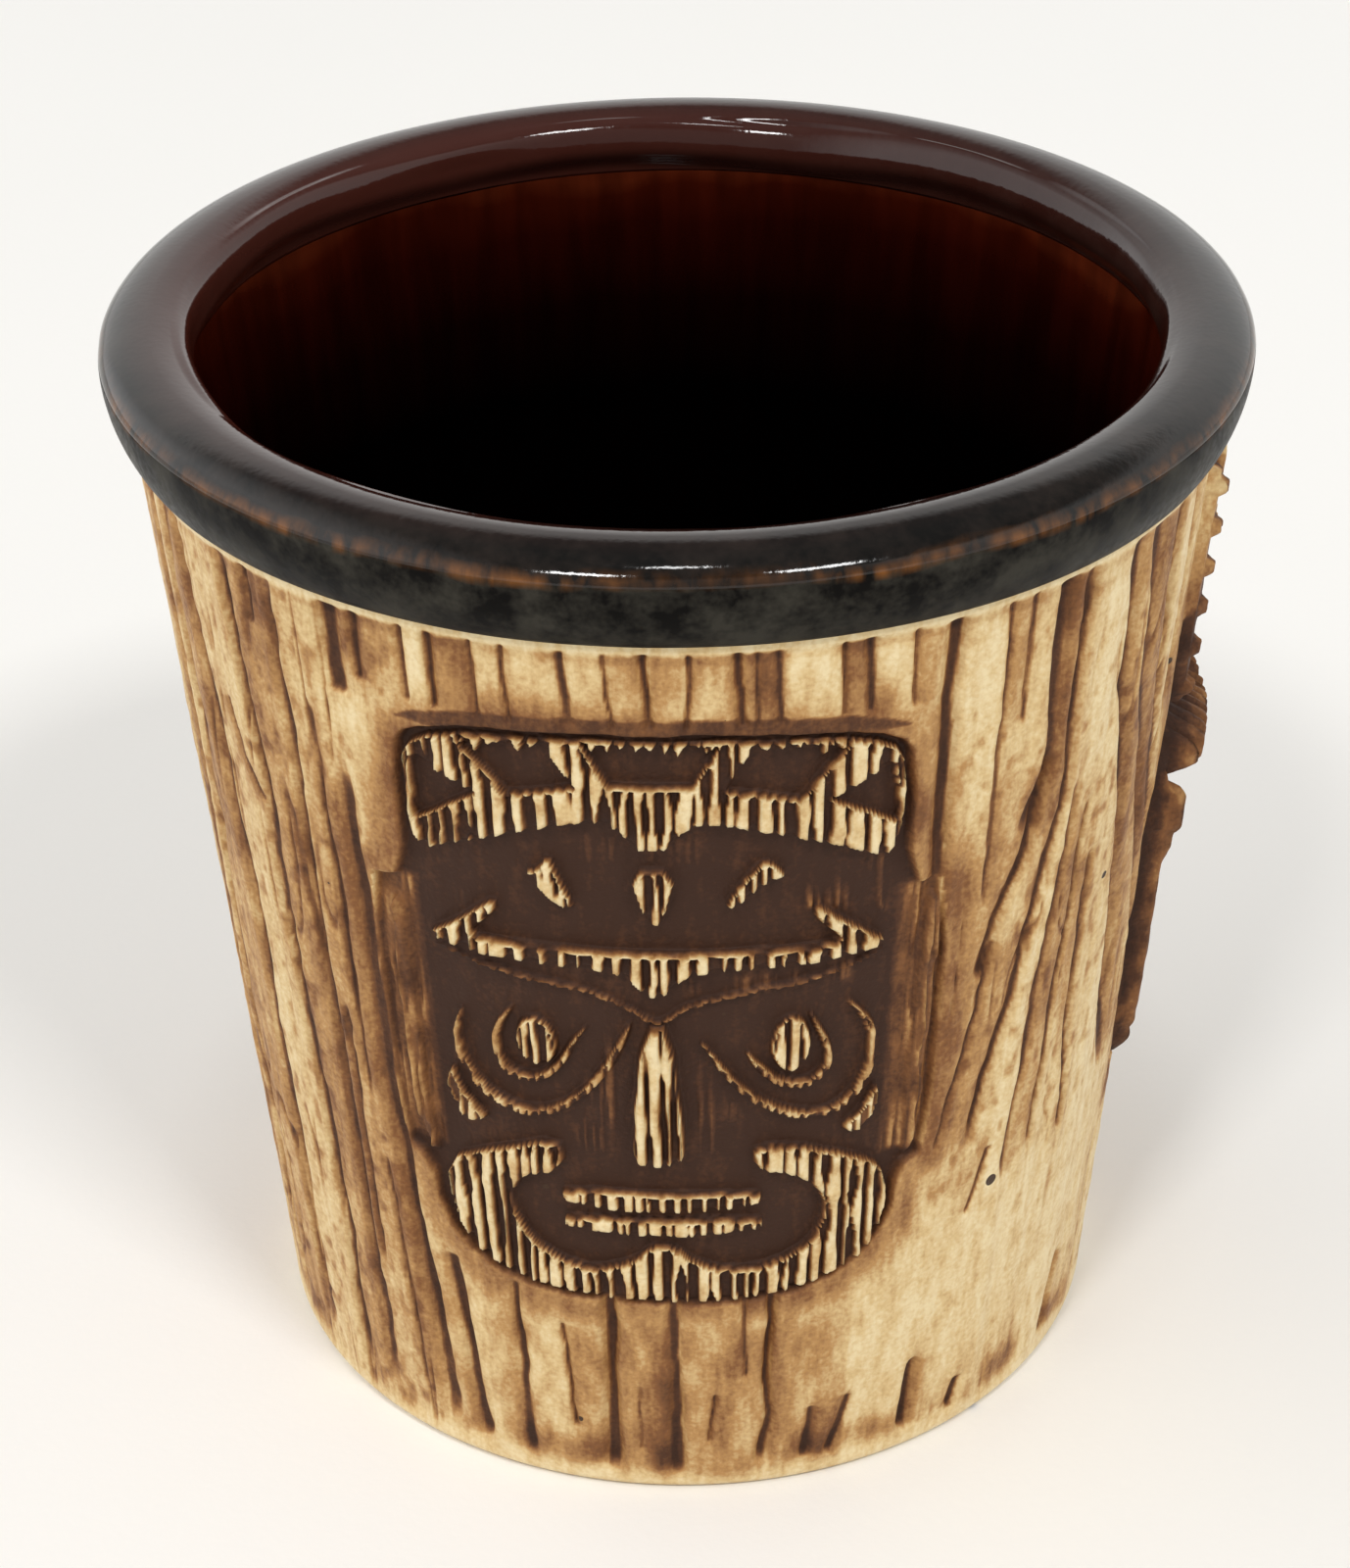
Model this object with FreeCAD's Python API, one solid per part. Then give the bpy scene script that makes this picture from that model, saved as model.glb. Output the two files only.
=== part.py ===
"""Carved tiki mug: a tapered bark-textured clay cup with a rolled, glazed lip and three carved masks.

Units are millimetres. +Z is up, the mug stands on z = 0 with its axis on Z, and the front mask faces -Y.
A mask is drawn flat, in (s, z): s is the arc length round the wall from its middle line, at radius SHEET_R.
Each sub-part is written to parts/NAME.step.
"""

import FreeCAD
import Part
import math
import os
import random

from FreeCAD import Vector

# ---- driving dimensions -------------------------------------------------------------------------
HEIGHT = 102.0          # foot to top of lip
RIM_R = 50.0            # widest point of the lip
LIP_IN_R = 43.0         # clear radius of the mouth
BAND_Z = 93.7           # lower edge of the glazed band round the lip
LIP_SWEEP_R = 10.4      # long curve of the lip's outer face
CROWN_R = 45.7          # where the lip is highest
SHOULDER_DROP = 2.5     # from the crown down to the lip's widest point
EDGE_DROP = 1.7         # from the crown down to the lip's inner edge
WALL_TOP_R = 47.5       # bark surface just under the band
WALL_FOOT_R = 39.4      # bark surface at the foot
GLAZE = 0.5             # thickness of both glaze coats

WALL = 4.5              # clay thickness of the side wall
FLOOR_TOP = 6.5         # clay floor, upper face
FLOOR_BOTTOM = 1.2      # recessed underside
FLOOR_R = 34.0          # where the floor meets the wall
CORNER_R = 7.0          # inside corner between wall and floor
CORNER_Z = FLOOR_TOP + CORNER_R
MOUTH_Z = 96.0          # the inside is a straight cylinder from here to the lip's inner edge
FOOT_ROUND = 1.0        # rounding of the outer foot edge

BARK_LOW, BARK_HIGH = 2.5, 92.6   # the bark grooves run between these heights
PLANKS = 46             # bark strips round the wall
GROOVE_DEPTH = 0.8
GROOVE_HALF = 0.45      # half the width of a groove, along the arc

SHEET_R = 45.0          # radius at which arc lengths s are measured
POCKET = -2.2           # mask pockets, measured from the bark surface
FIELD = -1.0            # sunk face of a mask's field plate
PRISM_NEAR, PRISM_FAR = 18.0, 60.0   # a mask outline is pushed out between these distances from the axis

FRONT, RIGHT, LEFT = 0.0, 115.0, -118.0   # directions of the three masks round Z


# ---- shared helpers -----------------------------------------------------------------------------
def wall_r(z):
    """Radius of the bark surface at height z."""
    return WALL_FOOT_R + (WALL_TOP_R - WALL_FOOT_R) * z / BAND_Z


def inner_r(z):
    """Radius of the clay on the inside of the cup, between the corner and the mouth."""
    low = wall_r(CORNER_Z) - WALL
    high = LIP_IN_R + GLAZE
    return low + (high - low) * (z - CORNER_Z) / (MOUTH_Z - CORNER_Z)


def line(a, b):
    return Part.makeLine(Vector(a[0], 0, a[1]), Vector(b[0], 0, b[1]))


def arc(a, through, b):
    points = [Vector(p[0], 0, p[1]) for p in (a, through, b)]
    return Part.Arc(*points).toShape()


def quadrant(start, corner, end):
    """A quarter of an ellipse from start to end, whose tangents meet at corner."""
    pull = 4 / 3 * (math.sqrt(2) - 1)
    poles = [start] + [
        (p[0] + (corner[0] - p[0]) * pull, p[1] + (corner[1] - p[1]) * pull) for p in (start, end)
    ] + [end]
    curve = Part.BezierCurve()
    curve.setPoles([Vector(r, 0, z) for r, z in poles])
    return curve.toShape()


def turned(edges):
    """Solid of revolution about Z from (r, z) edges that close on themselves."""
    return Part.Face(Part.Wire(edges)).revolve(Vector(0, 0, 0), Vector(0, 0, 1), 360)


def on_circle(centre, radius, degrees):
    a = math.radians(degrees)
    return (centre[0] + radius * math.cos(a), centre[1] + radius * math.sin(a))


def mirrored(points):
    """A closed outline from its right half: the list runs from the middle line round to it again."""
    return points + [(-s, z) for s, z in reversed(points) if s > 0]


def flipped(points):
    return [(-s, z) for s, z in points]


def flat_point(s, z):
    """Where a point of the mask's sheet lies when seen straight on, facing -Y."""
    return Vector(wall_r(z) * math.sin(s / SHEET_R), 0, z)


def prism(points, smooth=False):
    """An outline in (s, z), pushed out along -Y. A smooth one is a closed curve through its points."""
    spots = [flat_point(s, z) + Vector(0, -PRISM_NEAR, 0) for s, z in points]
    if smooth:
        curve = Part.BSplineCurve()
        curve.interpolate(Points=spots, PeriodicFlag=True)
        wire = Part.Wire([curve.toShape()])
    else:
        wire = Part.makePolygon(spots + spots[:1])
    return Part.Face(wire).extrude(Vector(0, PRISM_NEAR - PRISM_FAR, 0))


def cone(offset):
    """Solid inside the bark surface moved outwards by offset."""
    return Part.makeCone(wall_r(0) + offset, wall_r(BAND_Z) + offset, BAND_Z)


def layer(low, high):
    return cone(high).cut(cone(low))


def relief(outlines, low, high, holes=(), smooth=False):
    """Raised clay: outlines in (s, z), standing between two offsets from the bark surface."""
    stock = layer(low, high)
    solids = []
    for points in outlines:
        body = prism(points, smooth)
        for hole in holes:
            body = body.cut(prism(hole))
        solids.extend(body.common(stock).Solids)
    return solids


def ellipse(centre, half_width, half_height, count=12):
    steps = [2 * math.pi * i / count for i in range(count)]
    return [(centre[0] + half_width * math.cos(a), centre[1] + half_height * math.sin(a)) for a in steps]


def stroke(path, width):
    """Outline of an open stroke through path, tapering to half its width at both ends."""
    left, right = [], []
    for i, (s, z) in enumerate(path):
        before, after = path[max(i - 1, 0)], path[min(i + 1, len(path) - 1)]
        ds, dz = after[0] - before[0], after[1] - before[1]
        size = math.hypot(ds, dz)
        half = width / 2 * (0.5 if i in (0, len(path) - 1) else 1.0)
        left.append((s - dz / size * half, z + ds / size * half))
        right.append((s + dz / size * half, z - ds / size * half))
    return left + right[::-1]


def box_outline(s0, s1, z0, z1):
    return [(s0, z0), (s1, z0), (s1, z1), (s0, z1)]


# ---- clay body ----------------------------------------------------------------------------------
def lip_start(inset):
    """Lowest point of the lip's outer side."""
    rise = HEIGHT - SHOULDER_DROP - BAND_Z
    return (RIM_R - LIP_SWEEP_R + math.sqrt((LIP_SWEEP_R - inset) ** 2 - rise ** 2), BAND_Z)


def lip_profile(inset):
    """Outer side, crown and inner edge of the lip as edges, moved into the lip by inset."""
    widest = (RIM_R - inset, HEIGHT - SHOULDER_DROP)
    crown = (CROWN_R, HEIGHT - inset)
    edge = (LIP_IN_R + inset, HEIGHT - EDGE_DROP)
    sweep = (RIM_R - LIP_SWEEP_R, widest[1])
    drop = math.degrees(math.asin((sweep[1] - BAND_Z) / (LIP_SWEEP_R - inset)))
    return [
        arc(lip_start(inset), on_circle(sweep, LIP_SWEEP_R - inset, -drop / 2), widest),
        quadrant(widest, (widest[0], crown[1]), crown),
        quadrant(crown, (edge[0], crown[1]), edge),
        line(edge, (LIP_IN_R + inset, MOUTH_Z)),
    ]


CORNER_CENTRE = (inner_r(CORNER_Z) - CORNER_R, CORNER_Z)


def corner_point(radius, degrees):
    return on_circle(CORNER_CENTRE, radius, degrees)


def floor_seat():
    """Angle and place on the inside corner where the floor meets the wall."""
    below = -math.degrees(math.acos((FLOOR_R - CORNER_CENTRE[0]) / CORNER_R))
    return below, corner_point(CORNER_R, below)


def bark_prism():
    """The bark zone: flat strips with V grooves between them, tapering with the wall."""
    rng = random.Random(7)
    widths = [rng.uniform(0.6, 1.4) for _ in range(PLANKS)]
    turn = 2 * math.pi / sum(widths)
    rings = []
    for z in (BARK_LOW, BARK_HIGH):
        points, angle, radius = [], 0.0, wall_r(z)
        half = GROOVE_HALF / SHEET_R
        for width in widths:
            following = angle + width * turn
            spots = ((angle + half, 0.0), (following - half, 0.0), (following, -GROOVE_DEPTH))
            for at, sunk in spots:
                points.append(Vector((radius + sunk) * math.cos(at), (radius + sunk) * math.sin(at), z))
            angle = following
        rings.append(Part.makePolygon(points + points[:1]))
    return Part.makeLoft(rings, True, True)


def foot_block():
    start = (wall_r(0) - FOOT_ROUND, 0.0)
    side = (wall_r(0), FOOT_ROUND)
    bend = on_circle((start[0], FOOT_ROUND), FOOT_ROUND, 315)
    top = (wall_r(BARK_LOW), BARK_LOW)
    return turned([
        line((0, 0), start),
        arc(start, bend, side),
        line(side, top),
        line(top, (0, BARK_LOW)),
        line((0, BARK_LOW), (0, 0)),
    ])


def lip_block():
    neck = (wall_r(BARK_HIGH), BARK_HIGH)
    edges = [line((0, BARK_HIGH), neck), line(neck, lip_start(GLAZE))]
    edges += lip_profile(GLAZE)
    mouth = (LIP_IN_R + GLAZE, MOUTH_Z)
    edges += [line(mouth, (0, MOUTH_Z)), line((0, MOUTH_Z), (0, BARK_HIGH))]
    return turned(edges)


def cavity():
    """Everything inside the wall: the cup's hollow, and the round hole that the floor fills."""
    below, seat = floor_seat()
    top = corner_point(CORNER_R, 0)
    mouth = (LIP_IN_R + GLAZE, MOUTH_Z)
    return turned([
        line((0, 0), (FLOOR_R, 0)),
        line((FLOOR_R, 0), seat),
        arc(seat, corner_point(CORNER_R, below / 2), top),
        line(top, mouth),
        line(mouth, (0, MOUTH_Z)),
        line((0, MOUTH_Z), (0, 0)),
    ])


def clay_wall(pockets):
    body = foot_block().fuse([bark_prism(), lip_block()]).cut(cavity())
    for outline, direction in pockets:
        tool = prism(outline).common(layer(POCKET, 6.0))
        tool.rotate(Vector(0, 0, 0), Vector(0, 0, 1), direction)
        body = body.cut(tool)
    return body.Solids


def clay_floor():
    below, seat = floor_seat()
    flat_end = corner_point(CORNER_R, -90)
    return [turned([
        line((0, FLOOR_BOTTOM), (FLOOR_R, FLOOR_BOTTOM)),
        line((FLOOR_R, FLOOR_BOTTOM), seat),
        arc(seat, corner_point(CORNER_R, (below - 90) / 2), flat_end),
        line(flat_end, (0, FLOOR_TOP)),
        line((0, FLOOR_TOP), (0, FLOOR_BOTTOM)),
    ])]


# ---- glaze coats --------------------------------------------------------------------------------
def rim_glaze():
    outer, inner = lip_profile(0.0), lip_profile(GLAZE)
    foot = line(lip_start(0.0), lip_start(GLAZE))
    mouth = line((LIP_IN_R, MOUTH_Z), (LIP_IN_R + GLAZE, MOUTH_Z))
    return [turned(Part.__sortEdges__(outer + inner + [foot, mouth]))]


def inner_glaze():
    clay = [corner_point(CORNER_R, degrees) for degrees in (-90, -45, 0)]
    face = [corner_point(CORNER_R - GLAZE, degrees) for degrees in (0, -45, -90)]
    clay_mouth, face_mouth = (LIP_IN_R + GLAZE, MOUTH_Z), (LIP_IN_R, MOUTH_Z)
    return [turned([
        line((0, FLOOR_TOP), clay[0]),
        arc(*clay),
        line(clay[2], clay_mouth),
        line(clay_mouth, face_mouth),
        line(face_mouth, face[0]),
        arc(*face),
        line(face[2], (0, FLOOR_TOP + GLAZE)),
        line((0, FLOOR_TOP + GLAZE), (0, FLOOR_TOP)),
    ])]


# ---- front mask ---------------------------------------------------------------------------------
FRONT_TOP = 0.2         # height of the front mask's carving above the bark surface
EYE_STROKE = 1.1        # width of the lines round its eyes
FRONT_FIELD = mirrored([
    (0, 23.0), (11, 23.2), (18, 25.2), (22.4, 30), (22.8, 35.6), (26, 37), (26, 66.6), (21.8, 67.4),
    (21.6, 80.4), (20, 82.9), (14, 84.4), (0, 85.2),
])
HEADDRESS = mirrored([
    (0, 73.5), (1.5, 73.5), (3, 75.9), (5.6, 75.9), (10.6, 74.3), (15.6, 72.4), (20.5, 69.9),
    (20.9, 79.6), (19.6, 81.9), (14, 83.6), (0, 84.4),
])
HEADDRESS_HOLES = [
    mirrored([(0, 79.8), (3.2, 79.8), (5, 83.1), (0, 83.1)]),
    [(6.1, 79.3), (11.8, 77.9), (15.3, 82), (8.3, 83.1)],
    [(-6, 79.4), (-11.4, 78.1), (-15, 81.9), (-8.6, 83.2)],
    [(14.6, 77.5), (20.2, 74.2), (19.5, 79.9)],
    [(-14.3, 77.7), (-20, 73.8), (-19.6, 79.8)],
]
FOREHEAD_MARKS = [
    [(-2.1, 71.3), (2, 71.3), (0.9, 65.8), (-0.7, 65.7)],
    [(-10.9, 70.8), (-9.7, 70.5), (-8.4, 72.4), (-7.6, 70), (-6.5, 67.3), (-7, 66.6), (-9, 68.2)],
    [(5.6, 67.6), (8.8, 72), (9.6, 71.9), (11.2, 70.3), (9.8, 70.1), (7.8, 68.3), (6.5, 67.3)],
]
BROW = mirrored([
    (0, 58.1), (1.2, 58.8), (2.8, 60.6), (5, 60.9), (12, 60.9), (20.9, 61.3), (17.5, 63.7), (14.2, 66.6),
    (13.2, 66.5), (13.3, 65.4), (15.6, 63.4), (15.2, 62.5), (10, 62.7), (0, 63),
])
LEFT_EYE_RING = [
    (-17.7, 54.2), (-18.6, 50.5), (-17.4, 47), (-14.9, 44.9), (-11.6, 44.2), (-8.4, 45.4), (-5.7, 48.3),
    (-3.4, 52), (-2.3, 55.4),
]
LEFT_EYE_LID = [
    (-12.6, 55.6), (-14.4, 53), (-14.6, 50), (-13.2, 48.2), (-10.8, 48.1), (-8.9, 49.8), (-6.1, 54.6),
]
RIGHT_EYE_RING = [
    (3.6, 53.5), (6.8, 48.4), (9.8, 45.7), (13.1, 44.1), (15.8, 44.1), (18.2, 45.8), (19.5, 49.8), (19, 53.2),
    (16.8, 56),
]
RIGHT_EYE_LID = [
    (7.8, 52), (9.2, 49.8), (10.8, 48.3), (12.9, 47.6), (14.6, 48.3), (15.6, 50.6), (13.4, 55.6),
]
NOSE = [(-1.4, 55.2), (-2.6, 41.4), (-1.9, 39.7), (1.9, 39.7), (2.7, 41.4), (1.4, 55.2)]
CHEEKS = [
    [(-19, 48), (-20.1, 46), (-19.7, 44), (-18.2, 41.6), (-15.6, 42.4), (-17.4, 44), (-18.7, 46)],
    [(20.3, 46.2), (20.2, 43.5), (18.6, 41), (16.6, 41.9), (18.4, 43.6), (19.6, 45.8)],
]
JAW = [
    (-8.9, 41.9), (-8.9, 38.2), (-12.9, 36.9), (-14.5, 33.4), (-12.5, 29.2), (-8.4, 27.1), (-4.9, 27.3),
    (-2.4, 28.5), (-1.2, 30.1), (1.5, 30.1), (3.4, 28.1), (6.6, 27.2), (10.6, 27.4), (14.4, 29.6), (15.6, 33),
    (14.6, 36), (11.6, 38), (8.6, 38.8), (8.6, 41.8), (15.6, 40), (20.2, 37.6), (21.7, 35.4), (21.8, 31),
    (20, 27), (16.5, 25.2), (10.6, 23.8), (0, 23.5), (-11.4, 24.2), (-16.4, 25.7), (-18.9, 27.2), (-20.8, 31),
    (-20.9, 36.6), (-16, 39.3),
]
UPPER_TEETH = box_outline(-9.4, 9.6, 34.2, 36.3)
LOWER_TEETH = box_outline(-9.3, 9.6, 31.4, 33.2)
LEFT_EAR = [
    (-24.1, 63.4), (-23.2, 64.8), (-22.1, 64.3), (-21.9, 40), (-21.6, 36.8), (-22.4, 36.6), (-23.8, 39.5),
    (-24.1, 45),
]
RIGHT_EAR = [
    (23.2, 64.6), (24.3, 66), (25.4, 65), (25.2, 45), (24.8, 39.4), (23.9, 36.6), (22.9, 36.6), (22.8, 40),
]


def front_mask():
    top = FRONT_TOP
    paths = (LEFT_EYE_RING, LEFT_EYE_LID, RIGHT_EYE_RING, RIGHT_EYE_LID)
    rings = relief([stroke(path, EYE_STROKE) for path in paths], FIELD, top - 0.2)
    pupils = [ellipse((-10.7, 52.4), 1.9, 2.4), ellipse((11.8, 52.3), 1.9, 2.8)]
    return {
        "front_mask_field": relief([FRONT_FIELD], POCKET, FIELD),
        "front_mask_headdress": relief([HEADDRESS], FIELD, top, HEADDRESS_HOLES),
        "front_mask_forehead_marks": relief(FOREHEAD_MARKS, FIELD, top - 0.2),
        "front_mask_brow": relief([BROW], FIELD, top + 0.1),
        "front_mask_eyes": rings + relief(pupils, FIELD, top - 0.2, smooth=True),
        "front_mask_nose": relief([NOSE], FIELD, top + 0.5),
        "front_mask_cheeks": relief(CHEEKS, FIELD, top - 0.1),
        "front_mask_teeth": relief([UPPER_TEETH, LOWER_TEETH], FIELD, top - 0.1),
        "front_mask_jaw": relief([JAW], FIELD, top),
        "front_mask_ears": relief([LEFT_EAR, RIGHT_EAR], FIELD, top),
    }


# ---- right mask: wide, in high relief, with a feather headdress ---------------------------------
RIGHT_FIELD = mirrored([(0, 22.6), (14, 23), (24, 25), (31.2, 26.4), (31.2, 91.6), (0, 91.6)])
FEATHERS, FEATHER_PITCH, FEATHER_HALF = 7, 7.2, 3.1
RIGHT_CROWN = mirrored([(0, 79.4), (25, 80.2), (25, 83.2), (0, 83.6)])
RIGHT_BROW = mirrored([
    (0, 58.6), (4, 59.6), (9, 58.2), (18, 57.6), (26, 57.8), (30.8, 58.6), (30.8, 64), (26, 66.2),
    (16, 65.8), (7, 64.6), (0, 63.2),
])
RIGHT_NOSE = mirrored([(0, 41.2), (5.2, 41), (6.9, 43), (6.4, 45.6), (3.6, 47.6), (2.4, 58.3), (0, 58.3)])
RIGHT_CHEEK_BAR = [(18.5, 41.6), (25.2, 44.2), (25.2, 42.2), (19.6, 39.6)]
RIGHT_EAR_PLATE = [
    (26.6, 33), (28.8, 26.4), (30.4, 31), (30.9, 38), (30.9, 57.2), (28, 57.2), (27.4, 50), (26.4, 42),
]
BRAID_IN, BRAID_OUT = 26.2, 30.8
BRAID_LOW, BRAID_HIGH = 66.8, 91.2
BEADS, BEAD_PITCH = 6, 4.0


def feather(middle):
    half = FEATHER_HALF
    return [
        (middle - half, 84.2), (middle + half, 84.2), (middle + half, 88.6), (middle + 0.6 * half, 90.6),
        (middle, 91.3), (middle - 0.6 * half, 90.6), (middle - half, 88.6),
    ]


def bead(side, row):
    middle = side * (BRAID_IN + BRAID_OUT) / 2
    return ellipse((middle, BRAID_LOW + BEAD_PITCH * (row + 0.5)), 1.9, BEAD_PITCH / 2 - 0.2)


def teeth_row(count, pitch, low, high):
    """Tooth outlines centred on the middle line, with small gaps between them."""
    half = pitch / 2 - 0.3
    middles = [(i - (count - 1) / 2) * pitch for i in range(count)]
    return [box_outline(middle - half, middle + half, low, high) for middle in middles]


def right_mask():
    feathers = [feather((i - (FEATHERS - 1) / 2) * FEATHER_PITCH) for i in range(FEATHERS)]
    beads = [bead(side, row) for side in (-1, 1) for row in range(BEADS)]
    strands = [box_outline(side * BRAID_IN, side * BRAID_OUT, BRAID_LOW, BRAID_HIGH) for side in (-1, 1)]
    eye_at = ((-13.6, 50.6), (13.6, 50.6))
    eye_holes = [ellipse(centre, 5.9, 4.1) for centre in eye_at]
    rings = relief([ellipse(centre, 7.6, 5.6) for centre in eye_at], FIELD, 1.2, eye_holes, smooth=True)
    lip_line, lip_hole = ellipse((0, 33.4), 18.6, 7, 16), ellipse((0, 33.4), 15.8, 4.6, 16)
    lips = relief([lip_line], FIELD, 1.6, [lip_hole], smooth=True)
    teeth = teeth_row(6, 3.6, 34, 36.6) + teeth_row(6, 3.6, 30.2, 32.8)
    return {
        "right_mask_field": relief([RIGHT_FIELD], POCKET, FIELD),
        "right_mask_headdress": relief(feathers, FIELD, 1.1) + relief([RIGHT_CROWN], FIELD, 1.5),
        "right_mask_braids": relief(strands, FIELD, 0.9) + relief(beads, 0.9, 1.7, smooth=True),
        "right_mask_forehead_diamond": relief([[(0, 67), (4.6, 72.6), (0, 78.2), (-4.6, 72.6)]], FIELD, 0.8),
        "right_mask_brow": relief([RIGHT_BROW], FIELD, 3.4),
        "right_mask_eyes": rings + relief([ellipse(c, 2.8, 2.5) for c in eye_at], FIELD, 1.4, smooth=True),
        "right_mask_nose": relief([RIGHT_NOSE], FIELD, 3.0),
        "right_mask_cheek_bars": relief([RIGHT_CHEEK_BAR, flipped(RIGHT_CHEEK_BAR)], FIELD, 1.0),
        "right_mask_mouth": lips + relief(teeth, FIELD, 0.6),
        "right_mask_ears": relief([RIGHT_EAR_PLATE, flipped(RIGHT_EAR_PLATE)], FIELD, 1.6),
    }


# ---- left mask: long and narrow, with a zigzag crown and a beard --------------------------------
LEFT_FIELD = mirrored([
    (0, 20.6), (8.4, 20.8), (11.8, 31), (17.6, 40), (20.4, 44), (23.6, 45.4), (23.6, 66.6), (20.8, 68),
    (19.4, 79), (15.4, 87.8), (0, 88.8),
])
LEFT_CROWN = mirrored([
    (0, 75.6), (3.4, 79.6), (6.8, 75.6), (10.2, 79.4), (13.6, 75.2), (17.6, 77.6), (14.4, 86.8), (0, 87.8),
])
LEFT_CROWN_MARK = [(-2.2, 84.6), (0, 80.8), (2.2, 84.6)]
LEFT_BROW = mirrored([
    (0, 62.4), (2.4, 62.6), (6, 65), (11, 66.2), (16, 65), (18.4, 61.6), (19.2, 66.6), (15.4, 70.4),
    (9, 71.6), (3.4, 70), (0, 68.4),
])
LEFT_NOSE = mirrored([(0, 41.8), (3.2, 42), (4.4, 43.6), (3.6, 46), (2, 48), (1.9, 61.8), (0, 61.8)])
NARROW_EYE = [(4.2, 55.2), (8.4, 58.6), (13.4, 59.6), (17, 57.8), (13.6, 54.6), (8.6, 53.2)]
EYE_SLIT = [(6.4, 55.5), (9.4, 57.4), (13.2, 57.9), (14.8, 57.2), (12.6, 55.6), (9, 54.7)]
LEFT_MOUTH = mirrored([(0, 29.6), (7.6, 30.2), (9.4, 34.8), (7.6, 39.2), (0, 40)])
LEFT_MOUTH_HOLE = mirrored([(0, 31.8), (6, 32.2), (7.2, 34.8), (6, 37.4), (0, 37.8)])
EAR_LOOP = [(20.8, 47), (23, 47), (23, 65), (20.8, 65)]
EAR_HOLE = [(21.5, 49.4), (22.3, 49.4), (22.3, 55), (21.5, 55)]
BEARD_STRANDS, BEARD_PITCH = 5, 2.7


def cheek_scar(side, low):
    return [(side * s, low + z) for s, z in ((6.6, 0), (15.2, 3), (15.6, 4.6), (6.8, 1.5))]


def beard_strand(middle):
    return [
        (middle - 1.1, 29), (middle - 0.8, 22.2), (middle, 21.2), (middle + 0.8, 22.2), (middle + 1.1, 29),
    ]


def left_mask():
    teeth = relief(teeth_row(4, 2.4, 33.4, 36.2), FIELD, 0.3)
    scars = [cheek_scar(side, low) for side in (-1, 1) for low in (42.6, 45.6, 48.6)]
    strands = [beard_strand((i - (BEARD_STRANDS - 1) / 2) * BEARD_PITCH) for i in range(BEARD_STRANDS)]
    ears = relief([EAR_LOOP, flipped(EAR_LOOP)], FIELD, 0.5, [EAR_HOLE, flipped(EAR_HOLE)])
    eyes = relief([NARROW_EYE, flipped(NARROW_EYE)], FIELD, 0.6, [EYE_SLIT, flipped(EYE_SLIT)])
    return {
        "left_mask_field": relief([LEFT_FIELD], POCKET, FIELD),
        "left_mask_crown": relief([LEFT_CROWN], FIELD, 0.7, [LEFT_CROWN_MARK]),
        "left_mask_brow": relief([LEFT_BROW], FIELD, 1.3),
        "left_mask_eyes": eyes,
        "left_mask_nose": relief([LEFT_NOSE], FIELD, 1.5),
        "left_mask_cheek_scars": relief(scars, FIELD, 0.4),
        "left_mask_mouth": relief([LEFT_MOUTH], FIELD, 0.9, [LEFT_MOUTH_HOLE]) + teeth,
        "left_mask_beard": relief(strands, FIELD, 0.6),
        "left_mask_ears": ears,
    }


# ---- assembly -----------------------------------------------------------------------------------
def turned_to(direction, nodes):
    for solids in nodes.values():
        for solid in solids:
            solid.rotate(Vector(0, 0, 0), Vector(0, 0, 1), direction)
    return nodes


def write(name, solids):
    shape = solids[0] if len(solids) == 1 else Part.makeCompound(solids)
    good = all(s.isValid() and s.Volume > 0 for s in solids)
    print(f"{name:30s} solids {len(solids):2d}  volume {sum(s.Volume for s in solids):9.1f}  valid {good}")
    shape.exportStep(f"parts/{name}.step")


def main():
    os.makedirs("parts", exist_ok=True)
    pockets = [(FRONT_FIELD, FRONT), (RIGHT_FIELD, RIGHT), (LEFT_FIELD, LEFT)]
    nodes = {
        "clay_wall": clay_wall(pockets),
        "clay_floor": clay_floor(),
        "rim_glaze": rim_glaze(),
        "inner_glaze": inner_glaze(),
    }
    nodes.update(turned_to(FRONT, front_mask()))
    nodes.update(turned_to(RIGHT, right_mask()))
    nodes.update(turned_to(LEFT, left_mask()))
    for name, solids in nodes.items():
        write(name, solids)


main()
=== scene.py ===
"""Looks for the carved tiki mug: bark wall, three carved masks, dark glazed lip and glossy inside.

Lengths are millimetres until a mesh is made. The outside wall is one height map over (u, z): u is the arc
length round the wall at radius SHEET_R, 0 at the front and growing to the viewer's right, and z is the
height. Each piece is a patch of that map with its edges turned in, so neighbouring pieces meet exactly.
"""

import math
from functools import partial

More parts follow.
